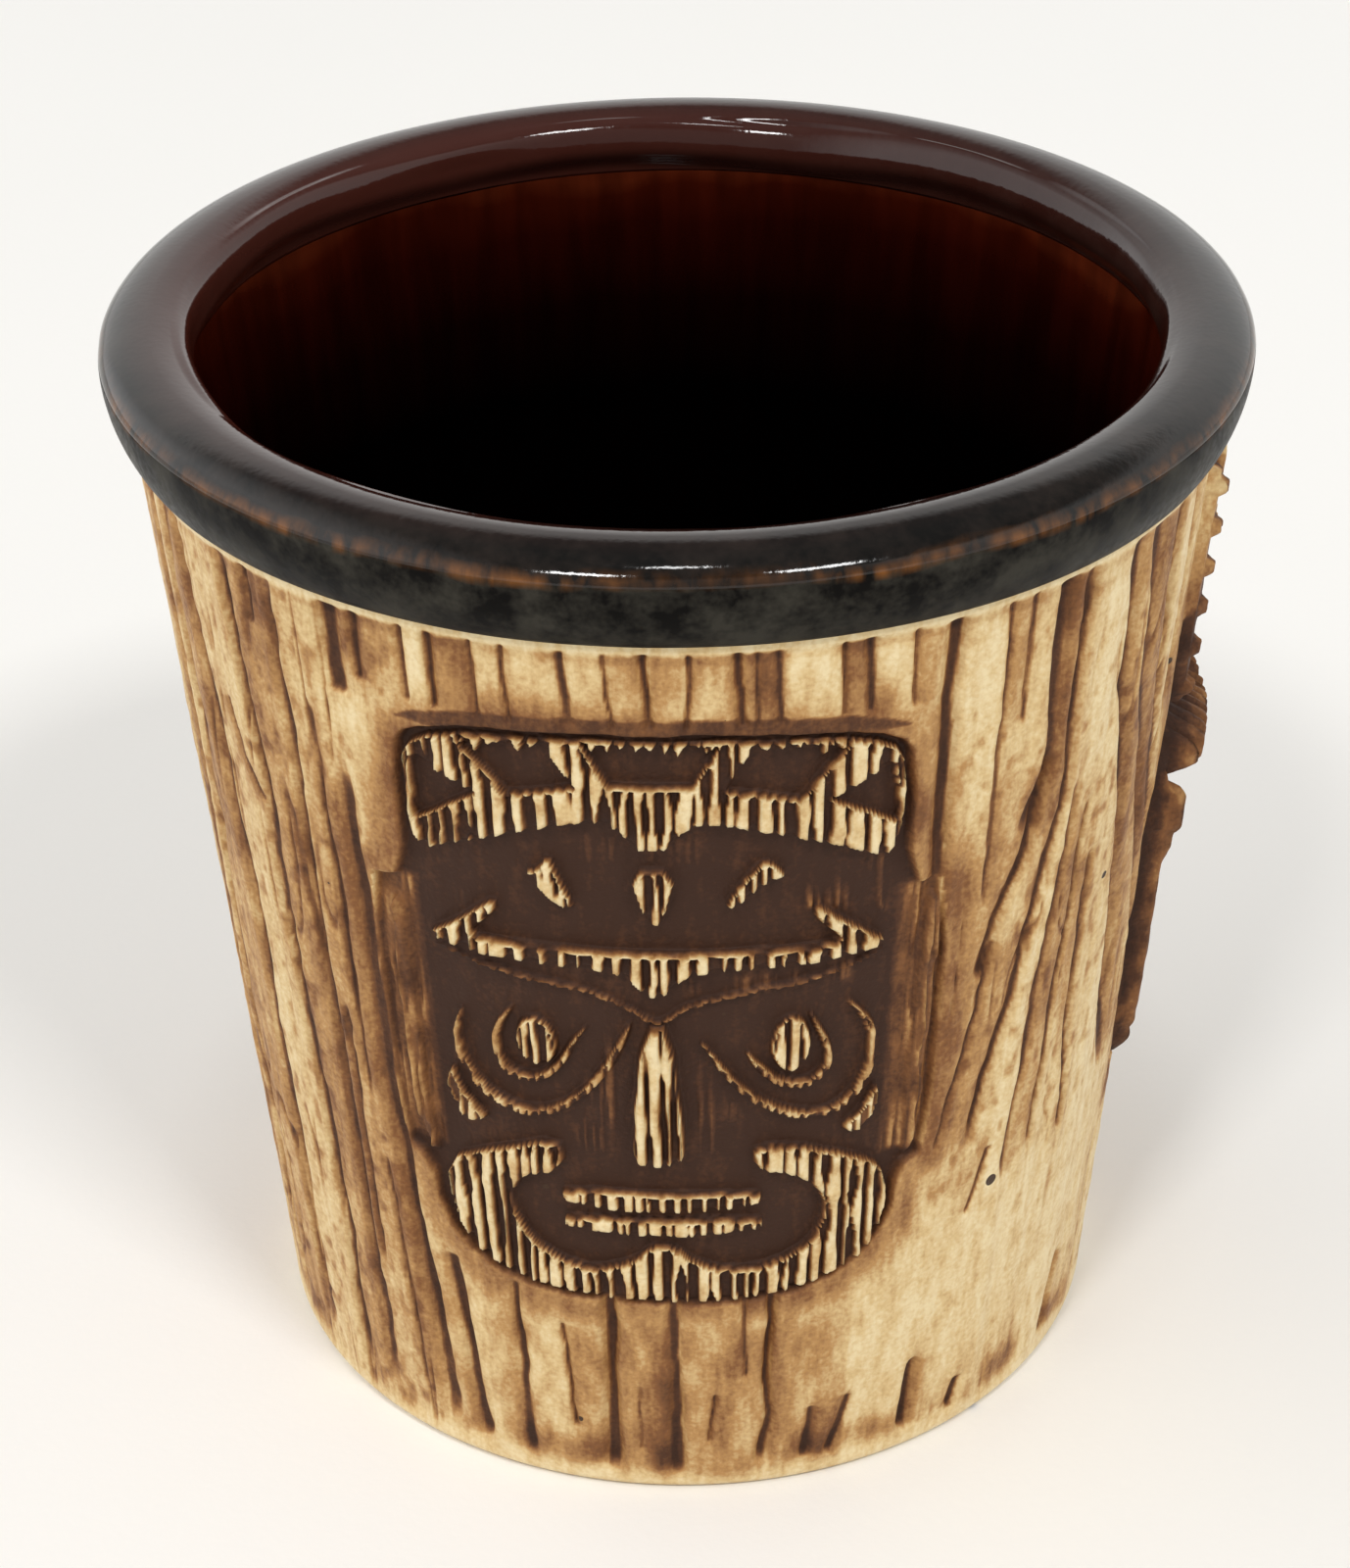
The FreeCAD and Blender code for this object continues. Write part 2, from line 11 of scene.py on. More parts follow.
import bpy
import numpy as np
from mathutils import Euler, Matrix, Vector


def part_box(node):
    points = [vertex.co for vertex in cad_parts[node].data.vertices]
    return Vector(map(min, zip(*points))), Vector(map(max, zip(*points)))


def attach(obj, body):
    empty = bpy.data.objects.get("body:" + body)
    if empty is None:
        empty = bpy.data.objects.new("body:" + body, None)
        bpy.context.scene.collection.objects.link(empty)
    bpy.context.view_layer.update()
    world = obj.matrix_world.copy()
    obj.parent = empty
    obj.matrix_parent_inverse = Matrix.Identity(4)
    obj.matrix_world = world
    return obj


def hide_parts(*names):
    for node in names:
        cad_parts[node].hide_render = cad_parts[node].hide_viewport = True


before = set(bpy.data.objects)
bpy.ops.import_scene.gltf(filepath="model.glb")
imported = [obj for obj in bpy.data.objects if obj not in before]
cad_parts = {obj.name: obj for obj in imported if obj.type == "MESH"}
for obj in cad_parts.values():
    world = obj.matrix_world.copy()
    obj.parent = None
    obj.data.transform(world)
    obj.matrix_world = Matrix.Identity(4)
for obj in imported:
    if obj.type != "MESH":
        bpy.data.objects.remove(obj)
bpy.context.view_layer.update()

MM = 0.001

# ---- sizes taken from the frame ------------------------------------------------------------------
rim_low, rim_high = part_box("rim_glaze")
glaze_low, glaze_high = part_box("inner_glaze")
floor_low, floor_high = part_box("clay_floor")
RIM_R = rim_high[0] / MM
HEIGHT = rim_high[2] / MM
BAND_Z = rim_low[2] / MM
MOUTH_Z = glaze_high[2] / MM
INNER_FLOOR_Z = glaze_low[2] / MM
FLOOR_R = floor_high[0] / MM
RECESS_Z = floor_low[2] / MM

# ---- driving dimensions, as in the CAD -----------------------------------------------------------
WALL_TOP_R = 47.5       # bark surface under the band
WALL_FOOT_R = 39.4      # bark surface at the foot
GLAZE = 0.5             # glaze coat
LIP_IN_R = 43.0         # the lip's inner edge
LIP_SWEEP_R = 10.4      # radius of the lip's outer sweep
CROWN_R = 45.7          # where the lip is highest
SHOULDER_DROP = 2.5     # from the crown down to the lip's widest point
SPLIT_Z = HEIGHT - 2.3  # where the glossy top meets the satin band
RIPPLE_R = 43.6         # glaze inside this radius is rippled
BRINK_R = 42.75         # where the lip turns down into the mouth
BRINK_DROP = 1.0        # from the crown down to that brink
BRINK_TILT = 38         # the lip's slope there, in degrees
ROLL = 0.85             # how far the lip's glaze rolls on into the mouth
ROLL_Z = 98.6           # the roll's height
OVERLAP = 0.25          # how far the lip's two pieces run on past the line where they meet
TUCK = 0.4              # how far what runs on is drawn in, for each millimetre past that line
AMBER_DROP = 1.9        # from the crown down to the amber line on the lip's outer edge
AMBER_HALF = 0.8        # half that line's width
AMBER_R = 47.5          # there is no amber inside this radius
MAROON_REACH = 4.8      # how far from the mouth the lip's glaze turns maroon
INNER_CORNER_R = 7.0    # round between the inside wall and the floor
INNER_FOOT_R = 36.07    # clay on the inside, where the corner starts
FOOT_ROUND = 1.0        # rounding of the foot's outer edge
SHEET_R = 45.0          # radius that arc lengths are measured at
ROUND = 2 * math.pi * SHEET_R
FIELD = -1.0            # sunk level of the masks
TOP = 0.2               # level of the front mask's carving
TURNED_IN = 2.4         # how far a piece's edges are turned into the wall

FRONT, RIGHT, LEFT = 0.0, math.radians(115) * SHEET_R, math.radians(-118) * SHEET_R


# ---- small maths ---------------------------------------------------------------------------------
def smooth(x):
    x = np.clip(x, 0.0, 1.0)
    return x * x * (3 - 2 * x)


def wrapped(u):
    """Arc length brought to the half turn either side of zero."""
    return (u + ROUND / 2) % ROUND - ROUND / 2


def noise(u, z, cell_u, cell_z, seed):
    """Smooth value noise from -1 to 1 that closes on itself round the wall."""
    across = max(4, round(ROUND / cell_u))
    up = int(HEIGHT / cell_z) + 4
    table = np.random.default_rng(seed).uniform(-1, 1, (across, up))
    x = (u % ROUND) / ROUND * across
    y = np.clip(z, 0, HEIGHT) / cell_z + 1
    i, j = np.floor(x).astype(int), np.floor(y).astype(int)
    fx, fy = smooth(x - i), smooth(y - j)
    i, following = i % across, (i + 1) % across
    low = table[i, j] * (1 - fx) + table[following, j] * fx
    high = table[i, j + 1] * (1 - fx) + table[following, j + 1] * fx
    return low * (1 - fy) + high * fy


def rounded(points, times=2):
    """A closed outline with its corners cut, which approaches a smooth curve."""
    points = np.array(points, float)
    for _ in range(times):
        following = np.roll(points, -1, axis=0)
        cut = np.stack([0.75 * points + 0.25 * following, 0.25 * points + 0.75 * following], axis=1)
        points = cut.reshape(-1, 2)
    return points


def inside(points, s, z):
    """Distance to a closed outline, positive inside it, and how far above the spot its nearest edge lies."""
    points = np.asarray(points, float)
    nearest = np.full(s.shape, 1e9)
    above = np.zeros(s.shape)
    within = np.zeros(s.shape, bool)
    for (ax, az), (bx, bz) in zip(points, np.roll(points, -1, axis=0)):
        dx, dz = bx - ax, bz - az
        size = max(dx * dx + dz * dz, 1e-12)
        t = np.clip(((s - ax) * dx + (z - az) * dz) / size, 0, 1)
        rise = az + t * dz - z
        d = (s - ax - t * dx) ** 2 + rise ** 2
        above = np.where(d < nearest, rise, above)
        nearest = np.minimum(nearest, d)
        if dz:
            crossing = ((az > z) != (bz > z)) & (s < dx * (z - az) / dz + ax)
            within ^= crossing
    return np.where(within, 1, -1) * np.sqrt(nearest), above


def along(points, s, z):
    """Distance to an open line of points, and how far along it the nearest spot is, from 0 to 1."""
    points = np.asarray(points, float)
    lengths = np.hypot(*np.diff(points, axis=0).T)
    starts = np.concatenate([[0], np.cumsum(lengths)])
    nearest, share = np.full(s.shape, 1e9), np.zeros(s.shape)
    for k, length in enumerate(lengths):
        (ax, az), (bx, bz) = points[k], points[k + 1]
        t = np.clip(((s - ax) * (bx - ax) + (z - az) * (bz - az)) / length ** 2, 0, 1)
        d = np.hypot(s - ax - t * (bx - ax), z - az - t * (bz - az))
        closer = d < nearest
        nearest = np.where(closer, d, nearest)
        share = np.where(closer, (starts[k] + t * length) / starts[-1], share)
    return nearest, share


def mirrored(points):
    return points + [(-s, z) for s, z in reversed(points) if s > 0]


def flipped(points):
    return [(-s, z) for s, z in points]


def ellipse(centre, half_width, half_height, count=24):
    steps = [2 * math.pi * i / count for i in range(count)]
    return [(centre[0] + half_width * math.cos(a), centre[1] + half_height * math.sin(a)) for a in steps]


def box_outline(s0, s1, z0, z1):
    return [(s0, z0), (s1, z0), (s1, z1), (s0, z1)]


# ---- the wall's map ------------------------------------------------------------------------------
def steps(start, end, size):
    return np.linspace(start, end, max(1, round((end - start) / size)), endpoint=False)


FINE, CLOSE, MEDIUM, COARSE = 0.2, 0.25, 0.3, 0.36      # spacing of the map's columns and rows
FRONT_HALF, RIGHT_HALF, LEFT_HALF = 28.0, 33.0, 26.0    # half widths of the zones round the masks
left_turned = LEFT + ROUND
U = np.concatenate([
    steps(-FRONT_HALF, FRONT_HALF, FINE),
    steps(FRONT_HALF, RIGHT - RIGHT_HALF, CLOSE),
    steps(RIGHT - RIGHT_HALF, RIGHT + RIGHT_HALF, MEDIUM),
    steps(RIGHT + RIGHT_HALF, left_turned - LEFT_HALF, COARSE),
    steps(left_turned - LEFT_HALF, left_turned + LEFT_HALF, MEDIUM),
    steps(left_turned + LEFT_HALF, ROUND - FRONT_HALF, CLOSE),
])
Z = np.concatenate([
    steps(0, 1, FINE), steps(1, 20, 0.34), steps(20, 87, 0.22), steps(87, BAND_Z + 0.3, CLOSE),
])
UU, ZZ = np.meshgrid(wrapped(U), Z)
height = np.zeros(UU.shape)
# The wall's stain map; it also carries the painted shade beside the grooves.
stain_and_shade = np.zeros(UU.shape)
piece_at = np.zeros(UU.shape, int)
piece_names = ["bark"]


def window(centre, points, margin=1.0):
    """Rows and columns of the map round an outline, with their (s, z)."""
    low, high = np.min(points, axis=0) - margin, np.max(points, axis=0) + margin
    s = wrapped(U - centre)
    cols = np.flatnonzero((s > low[0]) & (s < high[0]))
    rows = np.flatnonzero((Z > low[1]) & (Z < high[1]))
    ss, zz = np.meshgrid(s[cols], Z[rows])
    return np.ix_(rows, cols), ss, zz


# ---- bark ----------------------------------------------------------------------------------------
# Each groove: its line from top to bottom in (u, z), half width, depth.
FRONT_GROOVES = [
    ([(-47, 93), (-45.2, 75), (-43.4, 57), (-43.6, 35), (-43.9, 3)], 0.75, 0.95),
    ([(-39, 93), (-38.3, 78), (-37.4, 70), (-37.3, 57), (-36.9, 38), (-36.4, 3)], 0.55, 0.8),
    ([(-42, 77), (-40.6, 72), (-38, 68)], 0.3, 0.4),
    ([(-35.9, 93), (-35.9, 87)], 0.4, 0.5),
    ([(-32.6, 93), (-32.5, 75), (-32.4, 57), (-32.2, 30), (-31.8, 3)], 0.5, 0.7),
    ([(-29.6, 82), (-29.3, 60), (-29, 40)], 0.3, 0.45),
    ([(-30.7, 50), (-30.4, 20)], 0.25, 0.35),
    ([(-26.4, 93), (-26.3, 84)], 0.8, 0.9),
    ([(-26.6, 76), (-26.3, 45), (-25.6, 30), (-24.4, 15), (-23.2, 3)], 0.7, 0.9),
    ([(-23.8, 93), (-23.8, 86)], 0.4, 0.5),
    ([(-21.6, 25), (-20.5, 12), (-19.3, 2.5)], 0.65, 0.9),
    ([(-28.2, 34), (-27.6, 18), (-27, 6)], 0.25, 0.35),
    ([(24.4, 93), (24.2, 75), (24.6, 62)], 0.7, 0.8),
    ([(29.1, 93), (29, 75), (28.9, 62)], 0.25, 0.4),
    ([(31.4, 93), (31.5, 80)], 0.28, 0.4),
    ([(34.8, 93), (34.8, 74), (32.3, 68.6)], 0.7, 1.0),
    ([(35.2, 75), (33.5, 66), (30.6, 60), (29.7, 54)], 0.5, 0.8),
    ([(31.2, 58), (28.8, 46), (26.2, 36)], 0.3, 0.45),
    ([(37.8, 93), (37.6, 72), (36.2, 62), (34, 50), (31.5, 41), (30.4, 35)], 0.5, 0.8),
    ([(38.9, 71), (37.6, 55), (36.8, 42), (35.4, 29)], 0.38, 0.6),
    ([(41.4, 68), (40.2, 50), (39.2, 31)], 0.3, 0.5),
    ([(44.2, 93), (44.4, 78), (47.6, 64), (50.6, 48), (53.5, 32)], 0.8, 1.0),
    ([(43.4, 62), (43.6, 45), (44.6, 30)], 0.4, 0.6),
    ([(47.4, 93), (48.8, 76), (53.6, 60), (57.6, 45), (60, 26)], 0.6, 0.9),
    ([(51.8, 93), (52.8, 76), (57, 60), (59, 50)], 0.6, 0.8),
    ([(56, 93), (56.6, 70)], 0.6, 0.8),
    ([(33.4, 34), (31, 27)], 0.35, 0.45),
    ([(26.6, 11), (25.8, 2.5)], 0.5, 0.9),
    ([(33.2, 6), (32.2, 2.5)], 0.4, 0.6),
    ([(14.8, 9), (14.2, 2.8)], 0.35, 0.6),
    ([(18.9, 9.5), (17.2, 2.5)], 0.4, 0.7),
    ([(49.4, 12), (48, 3)], 0.5, 0.8),
    ([(-14.7, 24), (-14.6, 12), (-14.2, 2.4)], 0.45, 0.85),
    ([(-9.9, 20), (-9.4, 12), (-9.2, 7)], 0.22, 0.45),
    ([(-5.3, 24), (-5.4, 12), (-5.2, 1.8)], 0.6, 1.0),
    ([(-2.8, 13), (-2.9, 5)], 0.2, 0.35),
    ([(1.4, 24), (1.4, 12), (1.5, 1.6)], 0.6, 1.0),
    ([(4.9, 12), (4.8, 6)], 0.2, 0.35),
    ([(7.9, 24), (8, 14)], 0.3, 0.5),
    ([(10.3, 24), (10.3, 13), (10.9, 8.6), (9.4, 2.8)], 0.45, 0.9),
]
# Upright joints of the short planks between the band and the front mask: place, half width, and how brown
# the plank to the right of it is.
PLANK_JOINTS = [
    (-19.6, 0.3, 0.04), (-17.0, 0.35, 0.22), (-13.6, 0.22, 0.06), (-11.0, 0.22, 0.0), (-6.3, 0.4, 0.20),
    (-3.2, 0.22, 0.0), (0.0, 0.4, 0.36), (2.9, 0.22, 0.0), (6.9, 0.35, 0.32), (8.3, 0.2, 0.24),
    (10.0, 0.3, 0.0), (14.8, 0.2, 0.24), (17.0, 0.4, 0.02), (20.4, 0.2, 0.06),
]
# The planks under the front mask: left edge and how brown.
LOW_PLANKS = [(-25.6, 0.08), (-14.6, 0.18), (-5.3, 0.40), (1.4, 0.30), (10.4, 0.26), (19.0, 0.06)]


def tint_planks(planks, end, height_share):
    """Gives each upright plank its own brown; height_share says how much at every spot of the wall."""
    for (at, tone), (after, _) in zip(planks, planks[1:] + [(end, 0)]):
        share = smooth((UU - at) / 0.6) * smooth((after - UU) / 0.6) * height_share
        stain_and_shade[:] = stain_and_shade * (1 - share) + share * (tone + 0.14 * noise(UU, ZZ, 2, 3, 9))


def carve_groove(path, half_width, depth, seed):
    """A rough cut with stain in it, steep on one side and easier on the other, that flares near the foot,
    with a brown halo beside it that is partly stain and partly painted shade.
    """
    sel, s, z = window(0.0, path, margin=6 * half_width + 1)
    bend = 0.35 * noise(s, z, 40, 7, seed) + 0.12 * noise(s, z, 40, 1.7, seed + 1)
    d, share = along(path, s + bend, z)
    middle = np.interp(z, *np.array(sorted((b, a) for a, b in path)).T)
    easy = (s + bend - middle) * (1 if seed % 2 else -1) > 0
    d = np.where(easy, 0.7 * d, 1.1 * d)
    flare = 0.5 * smooth((11 - z) / 8)
    width = half_width * (1.1 + flare + 0.3 * noise(s, z, 60, 5, seed + 2))
    fade = smooth(share / 0.06 + 0.35) * smooth((1 - share) / 0.08 + 0.2)
    cut = np.exp(-np.abs(d / width) ** 2.6) * fade * (0.8 + 0.35 * noise(s, z, 60, 9, seed + 3))
    height[sel] -= depth * cut
    band = smooth((0.62 * width - d) / 0.35 + 0.35) * fade
    stain_and_shade[sel] = np.maximum(stain_and_shade[sel], band * (0.60 + 0.2 * cut))
    # Beside the cut, wider on its easier side, a brown halo: partly stain, partly painted shade of the cut's
    # sloping edge.
    spread = np.where(easy, 1.9, 0.5) * (half_width + 0.3)
    stain_and_shade_halo = np.exp(-d / spread) * fade * (0.8 + 0.6 * noise(s, z, 3, 6, seed + 4))
    stain_and_shade[sel] += 0.40 * np.clip(stain_and_shade_halo, 0, 1) * (1 - stain_and_shade[sel])


def hidden_grooves():
    """Grooves for the parts of the wall that no outline above covers: the two gaps beside the back masks."""
    rng = np.random.default_rng(31)
    grooves, u = [], 60.0
    while u < ROUND - 50:
        top = 93.0 if rng.random() < 0.75 else rng.uniform(60, 85)
        bottom = 3.0 if rng.random() < 0.7 else rng.uniform(10, 35)
        heights = np.linspace(top, bottom, 5)
        drift = np.cumsum(rng.uniform(-0.7, 0.7, 5))
        half_width = rng.choice([0.25, 0.4, 0.6, 0.85])
        grooves.append((list(zip(u + drift, heights)), half_width, 0.35 + 0.7 * half_width))
        u += rng.uniform(1.8, 4.6)
    return [([(wrapped(a), b) for a, b in path], w, d) for path, w, d in grooves]


def carve_bark():
    u, z = UU, ZZ
    away = smooth((np.abs(u - 20) - 34) / 8) + smooth((30 - np.abs(z - 58)) / 8)
    smooth_patch = 1 - np.clip(away, 0, 1)
    height[:] += 0.22 * noise(u, z, 4.2, 34, 1) + 0.12 * noise(u, z, 1.6, 16, 2)
    grain = 0.6 * noise(u, z, 0.7, 9, 3) + 0.4 * noise(u, z, 0.45, 4, 4)
    chips = noise(u, z, 0.8, 1.5, 14)
    height[:] += (0.055 * grain + 0.05 * chips) * (1 - 0.6 * smooth_patch)
    stain_and_shade[:] += 0.34 * np.clip(-chips - 0.25, 0, 1) * (1 - 0.5 * smooth_patch)
    stain_and_shade[:] += 0.03 + 0.14 * np.clip(noise(u, z, 3.2, 30, 5), 0, 1) + 0.14 * np.clip(-grain, 0, 1) ** 2
    # Broad brown patches, and the wall made darker towards the left of the front.
    stain_and_shade[:] += 0.10 * np.clip(noise(u, z, 8, 12, 8), 0, 1) + 0.10 * smooth((-22 - u) / 10)
    cracks = np.clip(1 - np.abs(noise(u, z, 1.9, 22, 6)) * 14, 0, 1) * smooth(noise(u, z, 9, 14, 7) * 2 + 0.1)
    height[:] -= 0.22 * cracks * (1 - 0.7 * smooth_patch)
    stain_and_shade[:] += 0.4 * cracks * (1 - 0.7 * smooth_patch)
    tint_planks([(at, 0.9 * tone) for at, _, tone in PLANK_JOINTS], 24.4, smooth((z - 84) / 2))
    tint_planks(LOW_PLANKS, 26.6, 0.8 * smooth((26 - z) / 8))
    for k, (path, half_width, depth) in enumerate(FRONT_GROOVES + hidden_grooves()):
        low, high = np.min(path, axis=0), np.max(path, axis=0)
        if high[0] - low[0] < ROUND / 2:
            carve_groove(path, half_width, depth, 100 + 5 * k)
    for k, (at, half_width, _) in enumerate(PLANK_JOINTS):
        carve_groove([(at, 93.5), (at + 0.2, 85.2)], half_width, 0.3 + 0.7 * half_width, 700 + 5 * k)


def carve_edges():
    """The smooth pale edge at the foot, and the cream bead under the glazed band."""
    foot = smooth((ZZ - 0.8) / 2.2 - 0.25 * noise(UU, ZZ, 6, 50, 11))
    height[:] *= foot
    stain_and_shade[:] *= 0.25 + 0.75 * foot
    pooled = np.exp(-((ZZ - 4.2) / 1.8) ** 2) * np.clip(noise(UU, ZZ, 3.5, 50, 12), 0, 1)
    stain_and_shade[:] += 0.35 * pooled * foot
    bead = smooth((ZZ - 92.3) / 0.4)
    height[:] = height * (1 - bead) + bead * 0.15
    stain_and_shade[:] = stain_and_shade * (1 - 0.9 * bead)
    under_bead = np.exp(-((ZZ - 91.9) / 0.45) ** 2)
    stain_and_shade[:] += 0.16 * under_bead * (0.6 + 0.4 * noise(UU, ZZ, 3, 50, 13))


# ---- carving tools -------------------------------------------------------------------------------
def gouges(s, z, pitch, seed):
    """Upright gouge cuts at uneven spacing: 1 in a cut, 0 on the ridges between them."""
    rng = np.random.default_rng(seed)
    count = int(90 / pitch)
    lines = np.cumsum(rng.uniform(0.72, 1.28, count)) * pitch - 45
    halves = rng.uniform(0.25, 0.40, count) * pitch
    bent = s + 0.12 * noise(s, z, 3, 3, seed + 1)
    k = np.clip(np.searchsorted(lines, bent), 1, count - 1)
    k = np.where(bent - lines[k - 1] < lines[k] - bent, k - 1, k)
    swell = 0.72 + 0.75 * noise(k * 3.1, z, 3.0, 3.2, seed + 2)
    half = halves[k] * np.clip(swell, -0.6, 1.15)
    return smooth((half - np.abs(bent - lines[k])) / 0.2 + 0.5)


def sink_field(centre, node, outline, wall_flank=0.55):
    """Cuts the mask's field into the bark."""
    outline = rounded(outline, 1)
    sel, s, z = window(centre, outline, margin=8)
    d, _ = inside(outline, s + 0.1 * noise(s, z, 4, 4, 41), z + 0.1 * noise(s, z, 4, 4, 42))
    deep = smooth(d / wall_flank)
    floor_level = FIELD + 0.05 * noise(s, z, 0.9, 6, 43) + 0.04 * noise(s, z, 3, 3, 44)
    height[sel] = height[sel] * (1 - deep) + floor_level * deep
    around = smooth(1 + d / 6.0 + 0.22 * noise(s, z, 3, 8, 45))
    stain_and_shade[sel] = np.maximum(stain_and_shade[sel], 0.50 * around * (0.9 + 0.3 * noise(s, z, 2.2, 5, 47)))
    above_it = smooth((d + 1.7) / 0.5) * smooth((z - np.max(outline, axis=0)[1] + 1.8) / 0.6)
    stain_and_shade[sel] = np.maximum(stain_and_shade[sel], 0.72 * above_it)
    stain_and_shade[sel] = stain_and_shade[sel] * (1 - deep) + deep * (0.97 + 0.03 * noise(s, z, 1.4, 8, 46))
    piece_names.append(node)
    piece_at[sel] = np.where(d > 0, len(piece_names) - 1, piece_at[sel])


def raise_relief(centre, mask, feature, outlines, top, flank=0.32, cut=0.85, holes=(), corners=1, pitch=1.35,
                 seed=60, worn=1.0):
    """Raises carved shapes out of a mask's field and gives them to the piece of that feature.

    The tops are gouged upright. The gouges stop short of upper edges and run out over lower ones.
    The stain is worn off the tops by the share worn.
    """
    node = f"{mask}_{feature}"
    if node not in piece_names:
        piece_names.append(node)
    for k, outline in enumerate(outlines):
        edge = rounded(outline, corners)
        sel, s, z = window(centre, edge)
        shifted_s = s + 0.11 * noise(s, z, 2.2, 2.2, 51)
        shifted_z = z + 0.11 * noise(s, z, 2.2, 2.2, 52)
        d, above = inside(edge, shifted_s, shifted_z)
        for hole in holes:
            hole_d, hole_above = inside(hole, shifted_s, shifted_z)
            above = np.where(-hole_d < d, hole_above, above)
            d = np.minimum(d, -hole_d)
        rise = smooth(d / flank)
        rim_line = np.where(above > -0.4 * np.abs(d), smooth((d - 0.22) / 0.22), 1.0)
        marks = cut * gouges(s, z, pitch, seed + 7 * k) * rim_line
        uneven = 0.07 * noise(s, z, 1.2, 1.2, 53)
        level = FIELD + (top - FIELD + uneven) * rise * (1 - 0.7 * marks)
        shown = (d > 0) & (level > height[sel] - 1e-6)
        height[sel] = np.where(shown, level, height[sel])
        light = smooth((rise * (1 - marks) - 0.3) / 0.55)
        patchy = worn * (1 + 0.3 * (1 - worn) * noise(s, z, 2.5, 4, 55))
        tone = 0.97 - 0.91 * light * patchy + 0.16 * noise(s, z, 0.8, 1.8, 54) * light
        stain_and_shade[sel] = np.where(shown, np.minimum(stain_and_shade[sel], tone), stain_and_shade[sel])
        piece_at[sel] = np.where(d > 0, piece_names.index(node), piece_at[sel])


def streaks(centre, outline, strength, rubbed=0.0):
    """Faint raised streaks left by the gouge on a mask's field, whose stain may be rubbed thinner."""
    sel, s, z = window(centre, outline, margin=2)
    soft = smooth(inside(outline, s, z)[0] / 1.2)
    ridge = (1 - gouges(s, z, 0.95, 90)) * np.clip(0.35 + 0.8 * noise(s, z, 1.1, 3.5, 91), 0, 1) * soft
    on_field = piece_at[sel] > 0
    height[sel] += np.where(on_field, strength * 0.6 * ridge, 0)
    stain_and_shade[sel] -= np.where(on_field, strength * ridge + rubbed * soft, 0)


def stroke(path, width, taper=0.5):
    """Outline of an open stroke through path."""
    left, right = [], []
    for i, (s, z) in enumerate(path):
        before, after = path[max(i - 1, 0)], path[min(i + 1, len(path) - 1)]
        ds, dz = after[0] - before[0], after[1] - before[1]
        size = math.hypot(ds, dz)
        half = width / 2 * (taper if i in (0, len(path) - 1) else 1.0)
        left.append((s - dz / size * half, z + ds / size * half))
        right.append((s + dz / size * half, z - ds / size * half))
    return left + right[::-1]


def icicles(start, end, pitch, drop, seed):
    """Points of a jagged edge that hangs from the line between two points."""
    rng = np.random.default_rng(seed)
    count = max(2, round(math.hypot(end[0] - start[0], end[1] - start[1]) / pitch))
    points = []
    for i in range(count):
        a, b = i / count, (i + rng.uniform(0.35, 0.65)) / count
        points.append((start[0] + (end[0] - start[0]) * a, start[1] + (end[1] - start[1]) * a))
        down = drop * rng.uniform(0.4, 1.3)
        points.append((start[0] + (end[0] - start[0]) * b, start[1] + (end[1] - start[1]) * b - down))
    return points + [end]


# ---- front mask ----------------------------------------------------------------------------------
FRONT_FIELD = mirrored([
    (0, 23.0), (11, 23.2), (18, 25.2), (22.4, 30), (22.8, 35.6), (26, 37), (26, 66.6), (21.8, 67.4),
    (21.6, 80.4), (20, 82.9), (14, 84.4), (0, 85.2),
])
HEADDRESS = mirrored([
    (0, 73.5), (1.5, 73.5), (3, 75.9), (5.6, 75.9), (10.6, 74.3), (15.6, 72.4), (20.5, 69.9),
    (20.9, 79.6), (19.6, 81.9), (14, 83.6), (0, 84.4),
])
FOREHEAD_MARKS = [
    [(-2.1, 71.3), (2, 71.3), (0.9, 65.8), (-0.7, 65.7)],
    [(-10.9, 70.8), (-9.7, 70.5), (-8.4, 72.4), (-7.6, 70), (-6.5, 67.3), (-7, 66.6), (-9, 68.2)],
    [(5.6, 67.6), (8.8, 72), (9.6, 71.9), (11.2, 70.3), (9.8, 70.1), (7.8, 68.3), (6.5, 67.3)],
]
BROW = mirrored([
    (0, 58.1), (1.2, 58.8), (2.8, 60.6), (5, 60.9), (12, 60.9), (20.9, 61.3), (17.5, 63.7), (14.2, 66.6),
    (13.2, 66.5), (13.3, 65.4), (15.6, 63.4), (15.2, 62.5), (10, 62.7), (0, 63),
])
LEFT_EYE_RING = [
    (-17.7, 54.2), (-18.6, 50.5), (-17.4, 47), (-14.9, 44.9), (-11.6, 44.2), (-8.4, 45.4), (-5.7, 48.3),
    (-3.4, 52), (-2.3, 55.4),
]
LEFT_EYE_LID = [
    (-12.6, 55.6), (-14.4, 53), (-14.6, 50), (-13.2, 48.2), (-10.8, 48.1), (-8.9, 49.8), (-6.1, 54.6),
]
RIGHT_EYE_RING = [
    (3.6, 53.5), (6.8, 48.4), (9.8, 45.7), (13.1, 44.1), (15.8, 44.1), (18.2, 45.8), (19.5, 49.8), (19, 53.2),
    (16.8, 56),
]
RIGHT_EYE_LID = [
    (7.8, 52), (9.2, 49.8), (10.8, 48.3), (12.9, 47.6), (14.6, 48.3), (15.6, 50.6), (13.4, 55.6),
]
BROW_FOLD = [
    (-20.2, 60.6), (-14, 59.3), (-7, 58.6), (-2.6, 57), (-0.6, 55.4), (0.8, 55.4), (3, 57.2), (8, 58.4),
    (14, 58.9), (20.6, 60.8),
]
